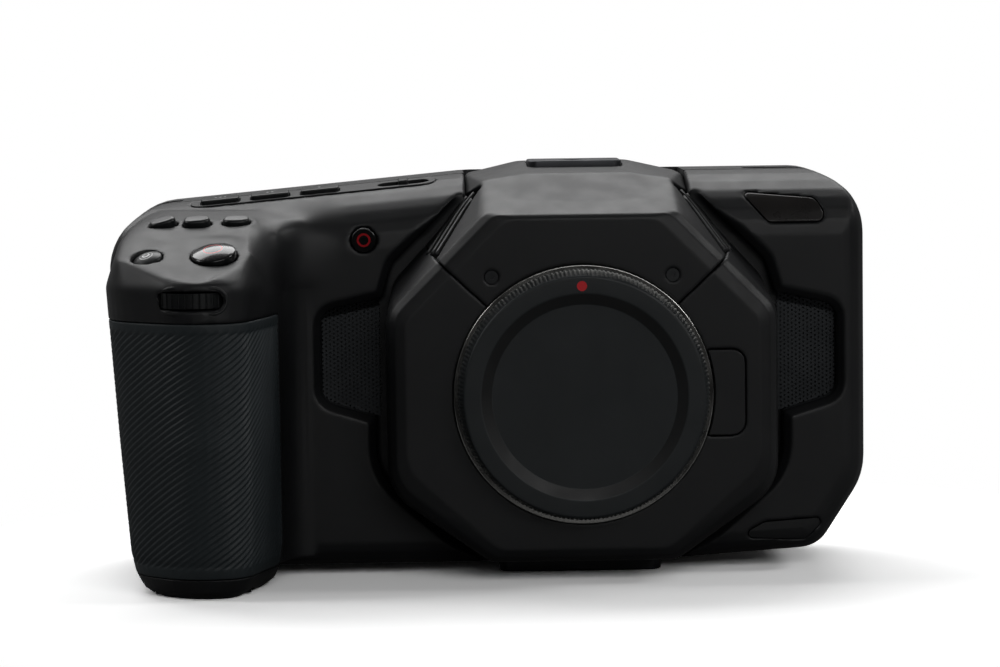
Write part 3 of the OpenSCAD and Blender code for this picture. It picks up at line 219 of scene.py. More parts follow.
# thin dark paint leaves the punched sheet a little of its metal shine
FINISH["sheet"] = metal("painted_perforated_sheet", "#3E4042", "#484A4C", 0.38, 0.46)
FINISH["lugs"] = metal("painted_strap_lug", "#2A2A2C", "#333335", 0.25, 0.35)
# nickel plating is bright and slightly warm
FINISH["connectors"] = metal("plated_connector_shell", "#9A9890", "#B0AEA5", 0.2, 0.35)
FINISH["gold"] = metal("gold_plated_contact", "#C79A4B", "#D6AE62", 0.15, 0.25)
print(len(FINISH), "finishes")

# %% [markdown]
# ## Painted marks
# The record buttons have a red ring, the stills button a white sign and the function keys plain dots. A mark
# is drawn by its distance from an axis through a point, so it stays round on a domed button and needs no
# picture. A mark with radius 0 is a dot.

# %% Paint marks on a finish
PAINT_EDGE = 0.06 * MM


def painted(name, base, marks):
    """A copy of a finish with round marks: centre in mm, axis, radius, half width of the line, colour."""
    material = FINISH[base].copy()
    material.name = name
    tree = material.node_tree
    shader = tree.nodes["Principled BSDF"]
    under = shader.inputs["Base Color"].links[0].from_socket
    place = add(tree, "ShaderNodeTexCoord")
    for centre, axis, radius, half, paint in marks:
        away = add(tree, "ShaderNodeVectorMath",
                   {0: place.outputs["Object"], 1: Vector(centre) * MM}, operation="SUBTRACT")
        across = add(tree, "ShaderNodeVectorMath",
                     {0: away.outputs[0], 1: Vector(axis).normalized()}, operation="CROSS_PRODUCT")
        far = add(tree, "ShaderNodeVectorMath", {0: across.outputs[0]}, operation="LENGTH")
        line = add(tree, "ShaderNodeMath",
                   {0: far.outputs["Value"], 1: radius * MM}, operation="SUBTRACT")
        width = add(tree, "ShaderNodeMath", {0: line.outputs[0]}, operation="ABSOLUTE")
        share = add(tree, "ShaderNodeMapRange",
                    {"Value": width.outputs[0], "From Min": half * MM, "From Max": half * MM + PAINT_EDGE,
                     "To Min": 1, "To Max": 0})
        mix = add(tree, "ShaderNodeMix",
                  {"Factor": share.outputs[0], "A": under, "B": colour(paint)}, data_type="RGBA")
        under = mix.outputs["Result"]
    connect(tree, under, shader, "Base Color")
    return material


# %% Marks of this camera
RECORD_AT, STILLS_AT, FRONT_RECORD_AT = (-83.5, -35.2, 77.2), (-98.6, -34.8, 76.7), (-49.9, -14, 79.1)
DECK_UP, DECK_SIDE_UP = (-0.11354, -0.36325, 0.92475), (-0.2724, -0.36325, 0.89098)
LENS_AXIS_AT, ALONG_Y = (0, -36.5, 44), (0, 1, 0)
KEY_UP, KEY_X, KEY_Y, KEY_Z = (-0.08889, 0, 0.99604), (-83.7, -71.94, -60.18), 1.5, 89
DOT_PITCH = 1.1

FINISH["record_mark"] = painted(
    "record_button_with_red_ring", "buttons", [(RECORD_AT, DECK_UP, 2.1, 0.16, "#C02028")])
FINISH["stills_mark"] = painted(
    "stills_button_with_white_ring", "satin_key",
    [(STILLS_AT, DECK_SIDE_UP, 0.75, 0.12, "#D8D8D8"), (STILLS_AT, DECK_SIDE_UP, 1.5, 0.1, "#B8B8B8")])
FINISH["front_mark"] = painted(
    "front_record_button_with_red_ring", "buttons", [(FRONT_RECORD_AT, ALONG_Y, 1.35, 0.2, "#C02028")])
# painted shade: a dark ring is painted on the cone of the cap, so it looks darker than the rim
FINISH["cap_painted_shade"] = painted(
    "cap_plastic_with_painted_shade_on_cone", "cap_plastic", [(LENS_AXIS_AT, ALONG_Y, 22.3, 1.15, "#141516")])
# the function keys carry three, two and one white dots, from the outside in
for i, x in enumerate(KEY_X):
    count = len(KEY_X) - i
    dots = [((x + (k - (count - 1) / 2) * DOT_PITCH, KEY_Y, KEY_Z), KEY_UP, 0, 0.26, "#D0D0D0")
            for k in range(count)]
    FINISH["key_mark_%d" % (i + 1)] = painted("function_key_with_%d_dots" % count, "satin_key", dots)
print(len(FINISH), "finishes with the painted ones")

# %% [markdown]
# Each CAD node names a material slot, and the slot picks the finish. A few nodes differ from the rest of
# their slot, and `OWN_FINISH` lists them.

# %% Give each CAD node its finish
OWN_FINISH = {
    "record_button": "record_mark", "stills_button": "stills_mark", "front_record_button": "front_mark",
    "function_button_1": "key_mark_1", "function_button_2": "key_mark_2", "function_button_3": "key_mark_3",
    "iso_button": "satin_key", "shutter_button": "satin_key", "balance_button": "satin_key",
    "control_wheel": "satin_key", "power_switch": "satin_key", "sensor_glass": "filter",
    # the body cap gets the copy with painted shade on its cone
    "release_button": "housing", "function_inlay": "housing", "body_cap": "cap_painted_shade",
}
slot_of = {part["node"]: part["material_slot"] for part in frame["record"]["subparts"]}
body_of = {node: body for body, members in frame["record"]["behaviour"]["bodies"].items() for node in members}


def finish_of(node):
    return FINISH[OWN_FINISH.get(node, slot_of[node])]


for node in slot_of:
    nodes[node].data.materials.clear()
    nodes[node].data.materials.append(finish_of(node))
print(len(slot_of), "CAD nodes have a finish")


# %% [markdown]
# ## Helpers for meshes
# `keep` turns a mesh into a piece of the camera: it rides on a body, has a slot and may stand in for a CAD
# node. A CAD mesh is loose triangles, so a copy of it is merged before it is worked on.

# %% Pieces and copies
def keep(name, mesh, body="camera", slot=None, *stands_for):
    made = bpy.data.objects.new(name, mesh)
    bpy.context.collection.objects.link(made)
    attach(made, body)
    made.data.materials.clear()
    made.data.materials.append(finish_of(stands_for[0]) if stands_for else FINISH[slot])
    if stands_for:
        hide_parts(*stands_for)
    return made


def merged_copy(node):
    bm = bmesh.new()
    bm.from_mesh(nodes[node].data)
    bmesh.ops.remove_doubles(bm, verts=bm.verts, dist=1e-6)
    return bm


def to_mesh(bm, name, smooth=True):
    bmesh.ops.recalc_face_normals(bm, faces=bm.faces)
    mesh = bpy.data.meshes.new(name)
    bm.to_mesh(mesh)
    bm.free()
    mesh.polygons.foreach_set("use_smooth", [smooth] * len(mesh.polygons))
    return mesh


def everything(bm):
    return bm.verts[:] + bm.edges[:] + bm.faces[:]


def verts_in(geometry):
    return [g for g in geometry if isinstance(g, bmesh.types.BMVert)]


# %% [markdown]
# Some shapes are made by live modifiers on an object that is thrown away afterwards. `finished_mesh` reads
# what the modifiers give and removes the work object, so only the mesh stays.

# %% Meshes from modifiers
def work_object(mesh):
    work = bpy.data.objects.new("work", mesh)
    bpy.context.collection.objects.link(work)
    return work


def finished_mesh(work):
    mesh = bpy.data.meshes.new_from_object(work.evaluated_get(bpy.context.evaluated_depsgraph_get()))
    bpy.data.objects.remove(work)
    return mesh


def add_relax(work, rounds):
    relax = work.modifiers.new("relax", "SMOOTH")
    relax.factor, relax.iterations = 0.5, rounds
    return relax


def even_net(node, step, rounds):
    """The mesh of a CAD node as a net of small squares, relaxed for some rounds."""
    work = work_object(to_mesh(merged_copy(node), "work"))
    remesh = work.modifiers.new("even_net", "REMESH")
    remesh.mode, remesh.voxel_size = "VOXEL", step
    add_relax(work, rounds)
    return finished_mesh(work)


def thinned(mesh, share):
    """A mesh with only a share of its faces, taken away where it is flattest."""
    work = work_object(mesh)
    work.modifiers.new("thin_out", "DECIMATE").ratio = share
    result = finished_mesh(work)
    result.polygons.foreach_set("use_smooth", [True] * len(result.polygons))
    return result


# %% [markdown]
# ## Moulded shells
# A moulded part has no knife edges: the tool and the shrinking plastic round every corner by half a
# millimetre or so. A bevel can't follow the crossing cuts of these shells, so a copy of each is rebuilt as an
# even net of small squares, relaxed so that its edges soften, and thinned out again where it is flat. Three
# zones are relaxed more: the deck of the grip, the valley beside it and the brow over the front.

# %% Relax some zones more
ZONE_FADE = 2           # mm over which a zone takes hold
SHELL_ROUNDS = 4        # rounds of relaxing that soften the edges of a shell


def softer_zones(mesh, zones):
    """Relax the net more inside boxes in mm, away from rooms given by centre and reach."""
    work = work_object(mesh)
    for low, high, rounds, rooms in zones:
        group = work.vertex_groups.new(name="zone")
        for v in mesh.vertices:
            at = v.co / MM
            inside = min(min(c - a, b - c) for a, c, b in zip(low, at, high))
            if inside > 0 and rooms:
                inside = min(inside, min((at - Vector(centre)).length - reach for centre, reach in rooms))
            if inside > 0:
                group.add([v.index], min(inside / ZONE_FADE, 1), "REPLACE")
        add_relax(work, rounds).vertex_group = group.name
    return finished_mesh(work)


def moulded(node, name, step, share, zones=()):
    mesh = softer_zones(even_net(node, step, SHELL_ROUNDS), zones)
    made = keep(name, thinned(mesh, share), body_of.get(node, "camera"), slot_of[node], node)
    print(name, len(made.data.polygons), "faces")


# %% Rebuild the shells with soft edges
OVAL_ROOMS = [((-96.1, -17.6, 83.9), 4.4), ((-88.2, -18.6, 84.1), 4.4), ((-79.1, -18.6, 84.1), 4.4)]
WHEEL_ROOM, TALLY_ROOM = ((-87.7, -50, 68), 8.6), ((48.5, -12, 85), 11)
DECK_ZONE = ((-110, -52, 66), (-67, -8, 90), 26,
             [(RECORD_AT, 6.6), (STILLS_AT, 4.6), *OVAL_ROOMS, WHEEL_ROOM])
VALLEY_ZONE = ((-76, -34, 68), (-54, -4, 92), 700, [(RECORD_AT, 7), ((-79.1, -18.6, 84.1), 4.6)])
BROW_ZONE = ((-100, -13.8, 79), (70, -2.4, 92.5), 24, [((-49.9, -13, 79.1), 4), TALLY_ROOM])
CROWN_ZONE = ((-24, -29, 85.5), (24, 28, 97), 30, [((0, 8, 96), 15)])
moulded("front_shell", "front_housing", step=0.42 * MM, share=0.24, zones=[DECK_ZONE, VALLEY_ZONE, BROW_ZONE])
moulded("top_cover", "hump_housing", step=0.34 * MM, share=0.35, zones=[CROWN_ZONE])
moulded("mount_surround", "surround_housing", step=0.34 * MM, share=0.35)
moulded("grip_foot", "foot_of_grip", step=0.34 * MM, share=0.4)

# %% [markdown]
# ## Small parts
# Small parts keep the faces of the CAD model. A bevel rounds their edges by a few tenths of a millimetre,
# and weighted normals keep the wide faces flat in the light while the narrow bevels turn smoothly. Both stay
# live modifiers, so that the radius can still be changed.

# %% Round the edges of the small parts
SAME_PLANE, EDGE_ANGLE, FLAT_FACE_WEIGHT = radians(0.6), radians(30), 80
ROUND_RADIUS = 0.6      # mm from which a rounding shows as a curve and gets more segments


def softened(node, radius, segments):
    bm = merged_copy(node)
    bmesh.ops.dissolve_limit(bm, angle_limit=SAME_PLANE, verts=bm.verts, edges=bm.edges)
    made = keep(node + "_finished", to_mesh(bm, node), body_of.get(node, "camera"), slot_of[node], node)
    bevel = made.modifiers.new("soft_edges", "BEVEL")
    bevel.width, bevel.segments = radius, segments
    bevel.limit_method, bevel.angle_limit = "ANGLE", EDGE_ANGLE
    bevel.use_clamp_overlap = True
    made.modifiers.new("flat_faces_first", "WEIGHTED_NORMAL").weight = FLAT_FACE_WEIGHT


# the radius of the edges in mm
ROUNDINGS = {
    "rear_shell": 0.45, "thumb_pad": 0.5, "front_plug": 0.2, "tally_window": 0.25, "function_inlay": 0.15,
    "top_thread_plate": 0.3, "tripod_plate": 0.3, "lcd_glass": 0.3, "strap_lugs": 0.4,
    "release_button": 0.3, "iso_button": 0.75, "shutter_button": 0.75, "balance_button": 0.75,
    "function_button_1": 0.35, "function_button_2": 0.35, "function_button_3": 0.35,
    "record_button": 0.3, "stills_button": 0.3, "front_record_button": 0.25, "mount_ring": 0.62,
    "power_switch": 0.35, "battery_door": 0.3, "battery_latch": 0.2, "card_door": 0.4,
    "audio_door": 0.4, "video_door": 0.4, "power_door": 0.4, "iris_button": 0.5, "focus_button": 0.5,
    "frame_rate_button": 0.5, "zoom_button": 0.5, "menu_button": 0.5, "play_button": 0.5, "battery": 0.8,
}
for node, radius in ROUNDINGS.items():
    softened(node, radius * MM, 4 if radius > ROUND_RADIUS else 2)
print(len(ROUNDINGS), "parts with soft edges")

# %% [markdown]
# ## Rubber skin
# The skin of the grip has slanted grooves that climb to the right. A groove keeps its slope on the
# surface, so it looks steeper where the grip turns away. The length round the grip is read from the outline
# of the CAD part, and each point of a fine net is drawn in by the depth of the groove at its place.

# %% Measure round the grip
GRIP_CENTRE = Vector((-88, -18, 0)) * MM
START_TURN = radians(60)        # the count starts behind the grip, where it joins the body
SKIN_LOW, SKIN_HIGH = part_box("grip_cover")[0][2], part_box("grip_cover")[1][2]


def turn_round_grip(point):
    return (atan2(point[1] - GRIP_CENTRE.y, point[0] - GRIP_CENTRE.x) - START_TURN) % (2 * pi)


def length_round_grip():
    """Pairs of turn and length along the outer outline of the skin at half height."""
    bm = merged_copy("grip_cover")
    cut = bmesh.ops.bisect_plane(bm, geom=everything(bm), plane_co=(0, 0, (SKIN_LOW + SKIN_HIGH) / 2),
                                 plane_no=(0, 0, 1))
    points = [v.co.copy() for v in verts_in(cut["geom_cut"])]
    bm.free()
    # the outer outline is the convex hull of the cut
    points = sorted((points[i] for i in convex_hull_2d([p.xy for p in points])), key=turn_round_grip)
    pairs, total = [(turn_round_grip(points[0]), 0)], 0
    for a, b in zip(points, points[1:]):
        total += (b - a).xy.length
        pairs.append((turn_round_grip(b), total))
    return pairs


length_table = length_round_grip()
print("length round the grip: %.1f mm" % (length_table[-1][1] / MM))

# %% Press the grooves into the skin
GROOVE_PITCH, GROOVE_SLOPE, GROOVE_DEPTH = 2.42 * MM, tan(radians(32)), 0.42 * MM
GROOVE_WIDTH = 0.8          # a power of the wave: below 1 the grooves are wider than the ribs
PLAIN_BELOW, PLAIN_ABOVE, GROOVE_FADE = 2.2 * MM, 1.8 * MM, 0.7 * MM
STEEPEST_SIDE = 0.6         # a face whose normal climbs more than this is an end, not a side


def groove_depth(point):
    turn = turn_round_grip(point)
    index = min(max(bisect_left(length_table, (turn, 0)), 1), len(length_table) - 1)
    (t0, l0), (t1, l1) = length_table[index - 1], length_table[index]
    length = l0 + (l1 - l0) * (turn - t0) / max(t1 - t0, 1e-9)
    phase = (length - point[2] / GROOVE_SLOPE) / GROOVE_PITCH
    wave = 0.5 + 0.5 * cos(2 * pi * phase)
    ends = min(point[2] - SKIN_LOW - PLAIN_BELOW, SKIN_HIGH - point[2] - PLAIN_ABOVE) / GROOVE_FADE
    return GROOVE_DEPTH * wave ** GROOVE_WIDTH * min(max(ends, 0), 1)


skin = even_net("grip_cover", step=0.3 * MM, rounds=2)
normals = [v.normal.copy() for v in skin.vertices]
for vertex, normal in zip(skin.vertices, normals):
    outward = (vertex.co - GRIP_CENTRE).xy.dot(normal.xy)
    if outward > 0 and abs(normal.z) < STEEPEST_SIDE:
        vertex.co -= normal * groove_depth(vertex.co)
grip = keep("ribbed_grip_skin", thinned(skin, share=0.5), "camera", "rubber", "grip_cover")
print("grip skin", len(grip.data.polygons), "faces")

# %% [markdown]
# ## Body cap
# The cap is turned from one profile of radius and depth. Its side tapers to the front and has fine teeth
# for the fingers, and a shallow cone steps down to the middle. The collar behind comes from the CAD part,
# cut off behind the new front.

# %% Turn the front of the cap
AXIS = Vector((0, 0, 44)) * MM
CAP_PROFILE = [(0, -36.2), (20.9, -36.2), (21.2, -36.25), (23.5, -36.96), (23.9, -37), (27.1, -37),
               (27.5, -36.9), (27.7, -36.6), (27.95, -35.4), (28.3, -34), (28.6, -32.6), (28.85, -31.6),
               (28.7, -31.3), (0, -31.3)]
TEETH, STEPS_PER_TOOTH, TOOTH_DEPTH = 180, 4, 0.2 * MM
TEETH_FROM_RADIUS, TEETH_FROM_Y = 27.8 * MM, -36.5 * MM


def turned(bm, profile, steps):
    """Spin a profile of radius and depth in mm about the lens axis."""
    verts = [bm.verts.new((r * MM, y * MM, AXIS.z)) for r, y in profile]
    edges = [bm.edges.new(pair) for pair in zip(verts, verts[1:])]
    bmesh.ops.spin(bm, geom=verts + edges, cent=AXIS, axis=(0, 1, 0), dvec=(0, 0, 0), angle=2 * pi,
                   steps=steps, use_merge=True)
    bmesh.ops.remove_doubles(bm, verts=bm.verts, dist=1e-6)


cap = bmesh.new()
turned(cap, CAP_PROFILE, TEETH * STEPS_PER_TOOTH)
for v in cap.verts:
    away = Vector((v.co.x, 0, v.co.z - AXIS.z))
    if away.length > TEETH_FROM_RADIUS and v.co.y > TEETH_FROM_Y:
        step = round(atan2(away.z, away.x) / (2 * pi) * TEETH * STEPS_PER_TOOTH)
        if step % STEPS_PER_TOOTH >= STEPS_PER_TOOTH / 2:
            v.co -= away.normalized() * TOOTH_DEPTH

# %% Join the collar to it
COLLAR_CUT = -31.25 * MM

collar = merged_copy("body_cap")
bmesh.ops.bisect_plane(collar, geom=everything(collar), plane_co=(0, COLLAR_CUT, 0), plane_no=(0, -1, 0),
                       clear_outer=True)
bmesh.ops.holes_fill(collar, edges=collar.edges[:], sides=0)
collar_mesh = bpy.data.meshes.new("collar")
collar.to_mesh(collar_mesh)
collar.free()
cap.from_mesh(collar_mesh)
cap_lid = keep("toothed_body_cap", to_mesh(cap, "toothed_body_cap"), "body_cap", "cap_plastic", "body_cap")
cap_lid.modifiers.new("flat_faces_first", "WEIGHTED_NORMAL")
print("cap", len(cap_lid.data.polygons), "faces")

# %% [markdown]
# A drop of red paint on the rim shows where the cap goes in. It is a thin disc, so that its edge stays
# crisp from close by.

# %% Red dot of the cap
DOT_AT, DOT_RADIUS, DOT_THICKNESS = Vector((-0.45, -37.04, 69.3)) * MM, 1.15 * MM, 0.2 * MM

dot = bmesh.new()
bmesh.ops.create_circle(dot, cap_ends=True, segments=32, radius=DOT_RADIUS,
                        matrix=Matrix.Translation(DOT_AT) @ Matrix.Rotation(pi / 2, 4, "X"))
grown = bmesh.ops.extrude_face_region(dot, geom=dot.faces[:])
bmesh.ops.translate(dot, verts=verts_in(grown["geom"]), vec=(0, DOT_THICKNESS, 0))
index_dot = keep("red_index_dot", to_mesh(dot, "red_index_dot", smooth=False), "body_cap", "cap_plastic")
index_dot.data.materials[0] = FINISH["red_paint"]
print("red dot", len(index_dot.data.polygons), "faces")

# %% [markdown]
# ## Perforated sheets
# The pockets beside the mount are closed by sheet metal with small staggered holes. One pair of cells, a
# square with a round hole each, is repeated in rows and columns, clipped by the outline of the pocket and
# given its thickness. Its top edge bends forward and catches the light.

# %% One cell of a sheet
COLUMN, ROW, HOLE = 0.9 * MM, 1.0 * MM, 0.25 * MM
ON_AXIS = 0.1 * HOLE    # a point nearer to an axis than this lies on it


def hole_cell(bm, x, z):
    hole = bmesh.ops.create_circle(bm, segments=8, radius=HOLE)["verts"]
    rim = bmesh.ops.create_circle(bm, segments=8, radius=HOLE)["verts"]
    # the outer circle is pulled out to the corners and the middles of a square
    for v in rim:
        v.co.x = (v.co.x > ON_AXIS) * COLUMN / 2 - (v.co.x < -ON_AXIS) * COLUMN / 2
        v.co.y = (v.co.y > ON_AXIS) * ROW / 2 - (v.co.y < -ON_AXIS) * ROW / 2
    edges = {e for v in hole + rim for e in v.link_edges}
    bmesh.ops.bridge_loops(bm, edges=list(edges))
    bmesh.ops.transform(bm, matrix=Matrix.Translation((x, 0, z)) @ Matrix.Rotation(pi / 2, 4, "X"),
                        verts=hole + rim)


# %% Punch, clip and bend the sheets
SHEET_OUTLINE = [(46.5, 65.4), (60.1, 62.4), (60.1, 41.6), (46.5, 37.4)]
SHEET_START, SHEET_PAIRS, SHEET_ROWS = Vector((46.5, -8.6, 37)) * MM, 8, 29
TOP_FALL, BENT_HEIGHT, BEND = 0.22, 1.9 * MM, 0.55
SHEET_THICKNESS = 0.35 * MM


def sheet(side):
    bm = bmesh.new()
    hole_cell(bm, 0, 0)
    hole_cell(bm, COLUMN, ROW / 2)
    cells = everything(bm)
    for i in range(SHEET_PAIRS):
        for j in range(SHEET_ROWS):
            copied = bmesh.ops.duplicate(bm, geom=cells)["geom"]
            bmesh.ops.translate(bm, verts=verts_in(copied),
                                vec=SHEET_START + Vector((i * 2 * COLUMN, 0, j * ROW)))
    bmesh.ops.delete(bm, geom=verts_in(cells), context="VERTS")
    bmesh.ops.remove_doubles(bm, verts=bm.verts, dist=1e-6)
    for (x0, z0), (x1, z1) in zip(SHEET_OUTLINE, SHEET_OUTLINE[1:] + SHEET_OUTLINE[:1]):
        bmesh.ops.bisect_plane(bm, geom=everything(bm), plane_co=(x0 * MM, 0, z0 * MM),
                               plane_no=(z0 - z1, 0, x1 - x0), clear_outer=True)
    left_x, top_z = SHEET_OUTLINE[0]
    for v in bm.verts:
        top = (top_z - (v.co.x / MM - left_x) * TOP_FALL) * MM
        v.co.y -= max(0, v.co.z - top + BENT_HEIGHT) * BEND
    if side < 0:
        bmesh.ops.scale(bm, verts=bm.verts, vec=(-1, 1, 1))
        bmesh.ops.reverse_faces(bm, faces=bm.faces)
    return bm


both = sheet(1)
left = bpy.data.meshes.new("left")
sheet(-1).to_mesh(left)
both.from_mesh(left)
sheets = keep("perforated_sheets", to_mesh(both, "perforated_sheets", smooth=False), "camera", "sheet",
              "grilles")
wall = sheets.modifiers.new("thickness", "SOLIDIFY")
wall.thickness, wall.offset = SHEET_THICKNESS, 0
print("sheets", len(sheets.data.polygons), "faces")

# %% [markdown]
# ## Microphone ports
# Each port is a slot in the chamfer of the hump with three ribs that bend inward at their upper ends. A
# rib is lofted: the same rounded section is set at points of a path, and the sections are bridged. The
# second port is the mirror image of the first.


# %% Loft a rib
def loft(bm, loops):
    rings = []
    for points in loops:
        verts = [bm.verts.new(p) for p in points]
        rings.append([bm.edges.new(pair) for pair in zip(verts, verts[1:] + verts[:1])])
    for a, b in zip(rings, rings[1:]):
        bmesh.ops.bridge_loops(bm, edges=a + b)
    for ring in (rings[0], rings[-1]):
        bmesh.ops.holes_fill(bm, edges=ring, sides=0)


# X of this frame runs up the slot, Y across it and Z out of the chamfer
MIC_FRAME = (Matrix.Translation(Vector((30.2, -14.7, 82)) * MM) @ Matrix.Rotation(radians(45), 4, "Y")
             @ Matrix.Rotation(radians(12.5), 4, "X") @ Matrix.Rotation(radians(140), 4, "Z"))
RIB_SECTION = [(-0.75, -1.2), (-0.6, -0.1), (-0.3, 0.15), (0.3, 0.15), (0.6, -0.1), (0.75, -1.2)]
RIB_STEPS, BEND_FROM, BEND_SHARE = 14, 3, 0.035


def mic_rib(bm, offset, low, high):
    loops = []
    for i in range(RIB_STEPS + 1):
        x = low + (high - low) * i / RIB_STEPS
        past = max(0, x - BEND_FROM)
        at = Matrix.Translation((x * MM, (offset + past ** 2 * BEND_SHARE) * MM, 0))
        lean = Matrix.Rotation(atan2(past * 2 * BEND_SHARE, 1), 4, "Z")
        loops.append([MIC_FRAME @ at @ lean @ Vector((0, a * MM, b * MM)) for a, b in RIB_SECTION])
    loft(bm, loops)


# %% Ribs and floor of the ports
# offset across the slot, lower end and upper end of each rib in mm
RIBS = ((-2.55, -8.2, 10.6), (0, -9.4, 10.8), (2.4, -10.6, 8))
FLOOR_DEPTH, FLOOR_HALF_LENGTH, FLOOR_HALF_WIDTH, FLOOR_THICKNESS = 1.3 * MM, 12.2 * MM, 3.9 * MM, 0.5 * MM

ribs = bmesh.new()
for offset, low, high in RIBS:
    mic_rib(ribs, offset, low, high)
floor_plate = bmesh.ops.create_grid(ribs, x_segments=1, y_segments=1, size=1)["verts"]
bmesh.ops.transform(ribs, verts=floor_plate,
                    matrix=MIC_FRAME @ Matrix.Translation((0, 0, -FLOOR_DEPTH))
                    @ Matrix.Diagonal((FLOOR_HALF_LENGTH, FLOOR_HALF_WIDTH, 1, 1)))
plate = bmesh.ops.extrude_face_region(ribs, geom=list({f for v in floor_plate for f in v.link_faces}))["geom"]
bmesh.ops.translate(ribs, verts=verts_in(plate), vec=MIC_FRAME.to_3x3() @ Vector((0, 0, -FLOOR_THICKNESS)))
bmesh.ops.mirror(ribs, geom=everything(ribs), axis="X", merge_dist=0)
mics = keep("curved_mic_ribs", to_mesh(ribs, "curved_mic_ribs"), "camera", "trim", "mic_ports")
mics.modifiers.new("flat_faces_first", "WEIGHTED_NORMAL")
print("microphone ribs", len(mics.data.polygons), "faces")

# %% [markdown]
# ## Lip of the wheel slot
# A soft lip runs round the slot of the control wheel. Its path is a stadium drawn on the nose of the grip:
# each point is shot onto the moulded shell, and the section stands on what it hits. So the lip follows the
# curve of the nose without being measured.

# %% Lip round the slot
SLOT_AT, SLOT_HALF, SLOT_R = (-87.7, 68.0), 4.7, 2.1
SLOT_STEPS, IN_FRONT = 12, -80
# how far out from the slot and how proud of the shell each line of the lip lies, in mm
LIP_SECTION = ((0.35, -0.5), (0.45, 0.12), (0.75, 0.3), (1.1, 0.2), (1.35, -0.5))

shell = bpy.data.objects["front_housing"].data
nose = BVHTree.FromPolygons([v.co for v in shell.vertices], [p.vertices for p in shell.polygons])


def slot_path(grow):
    """Points in mm of a stadium round the slot: half a circle at each end."""
    points = []
    for side in (1, -1):
        for i in range(SLOT_STEPS + 1):
            turn = side * pi / 2 - pi * i / SLOT_STEPS
            points.append((SLOT_AT[0] + side * SLOT_HALF + (SLOT_R + grow) * cos(turn),
                           SLOT_AT[1] + (SLOT_R + grow) * sin(turn)))
    return points


lip = bmesh.new()
rings = []
for grow, proud in LIP_SECTION:
    verts = []
    for x, z in slot_path(grow):
        hit = nose.ray_cast(Vector((x, IN_FRONT, z)) * MM, Vector((0, 1, 0)))[0]
        verts.append(lip.verts.new((x * MM, hit.y - proud * MM, z * MM)))
    rings.append([lip.edges.new(pair) for pair in zip(verts, verts[1:] + verts[:1])])
for a, b in zip(rings, rings[1:] + rings[:1]):
    bmesh.ops.bridge_loops(lip, edges=a + b)
slot_lip = keep("wheel_slot_lip", to_mesh(lip, "wheel_slot_lip"), "camera", "housing")
print("slot lip", len(slot_lip.data.polygons), "faces")

# %% [markdown]
# ## Lens contacts
# With the cap off, a row of spring contacts shows at the bottom of the throat. Each is a small plated
# dome, set along an arc round the lens axis and half sunk in the block.

# %% Contacts
CONTACTS, CONTACT_PITCH, CONTACT_RADIUS = 12, 1.35, 0.42 * MM
CONTACT_ARC, CONTACT_SINK = 20.2 * MM, 0.05 * MM

low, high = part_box("contact_block")
pins = bmesh.new()
for i in range(CONTACTS):
    x = (i - (CONTACTS - 1) / 2) * CONTACT_PITCH * MM
    z = AXIS.z - (CONTACT_ARC ** 2 - x * x) ** 0.5
    place = Matrix.Translation((x, low[1] + CONTACT_SINK, z)) @ Matrix.Rotation(pi / 2, 4, "X")
    bmesh.ops.create_uvsphere(pins, u_segments=12, v_segments=8, radius=CONTACT_RADIUS, matrix=place)
contacts = keep("gold_lens_contacts", to_mesh(pins, "gold_lens_contacts"), "camera", "connectors")
contacts.data.materials[0] = FINISH["gold"]
print(CONTACTS, "contacts")

# %% [markdown]
# ## Table and tent
# The camera body stands on a white table. Seen by the camera, the paper near the object is exposed so that
# it is white but keeps the shadow, and further off it is plain white. To the object it gives only its real,
# weaker light, and in front it ends in the dark room, as black plastic would mirror it.


# %% Table
SHADOW_NEAR, SHADOW_FAR = 0.1, 0.17     # metres from the middle over which the shadow is let go
EXPOSED_WHITE = 2.3
TABLE_FRONT, TABLE_LIT = -0.2, -0.09    # metres in Y over which the table comes out of the dark


def studio_white(name):
    material = bpy.data.materials.new(name)
    material.use_nodes = True
    tree = material.node_tree
    tree.nodes.clear()
    place = add(tree, "ShaderNodeTexCoord")
    axes = add(tree, "ShaderNodeSeparateXYZ", {0: place.outputs["Object"]})
    front = add(tree, "ShaderNodeMapRange",
                {"Value": axes.outputs["Y"], "From Min": TABLE_FRONT, "From Max": TABLE_LIT})
    cloth = add(tree, "ShaderNodeMix",
                {"Factor": front.outputs["Result"], "A": colour("#0C0C0C"), "B": colour("#808080")},
                data_type="RGBA")
    path = add(tree, "ShaderNodeLightPath")
    paper = add(tree, "ShaderNodeMix",
                {"Factor": path.outputs["Is Camera Ray"], "A": cloth.outputs["Result"],
                 "B": (EXPOSED_WHITE, EXPOSED_WHITE, EXPOSED_WHITE, 1)}, data_type="RGBA")
    diffuse = add(tree, "ShaderNodeBsdfDiffuse", {"Color": paper.outputs["Result"], "Roughness": 0.5})
    glow = add(tree, "ShaderNodeEmission", {"Color": (1, 1, 1, 1), "Strength": 1})
    away = add(tree, "ShaderNodeVectorMath", {0: place.outputs["Object"]}, operation="LENGTH")
    far = add(tree, "ShaderNodeMapRange",
              {"Value": away.outputs["Value"], "From Min": SHADOW_NEAR, "From Max": SHADOW_FAR})
    seen = add(tree, "ShaderNodeMath",
               {0: path.outputs["Is Camera Ray"], 1: far.outputs["Result"]}, operation="MULTIPLY")
    mix = add(tree, "ShaderNodeMixShader", {0: seen.outputs[0], 1: diffuse.outputs[0], 2: glow.outputs[0]})
    output = add(tree, "ShaderNodeOutputMaterial")
    tree.links.new(mix.outputs[0], output.inputs["Surface"])
    return material


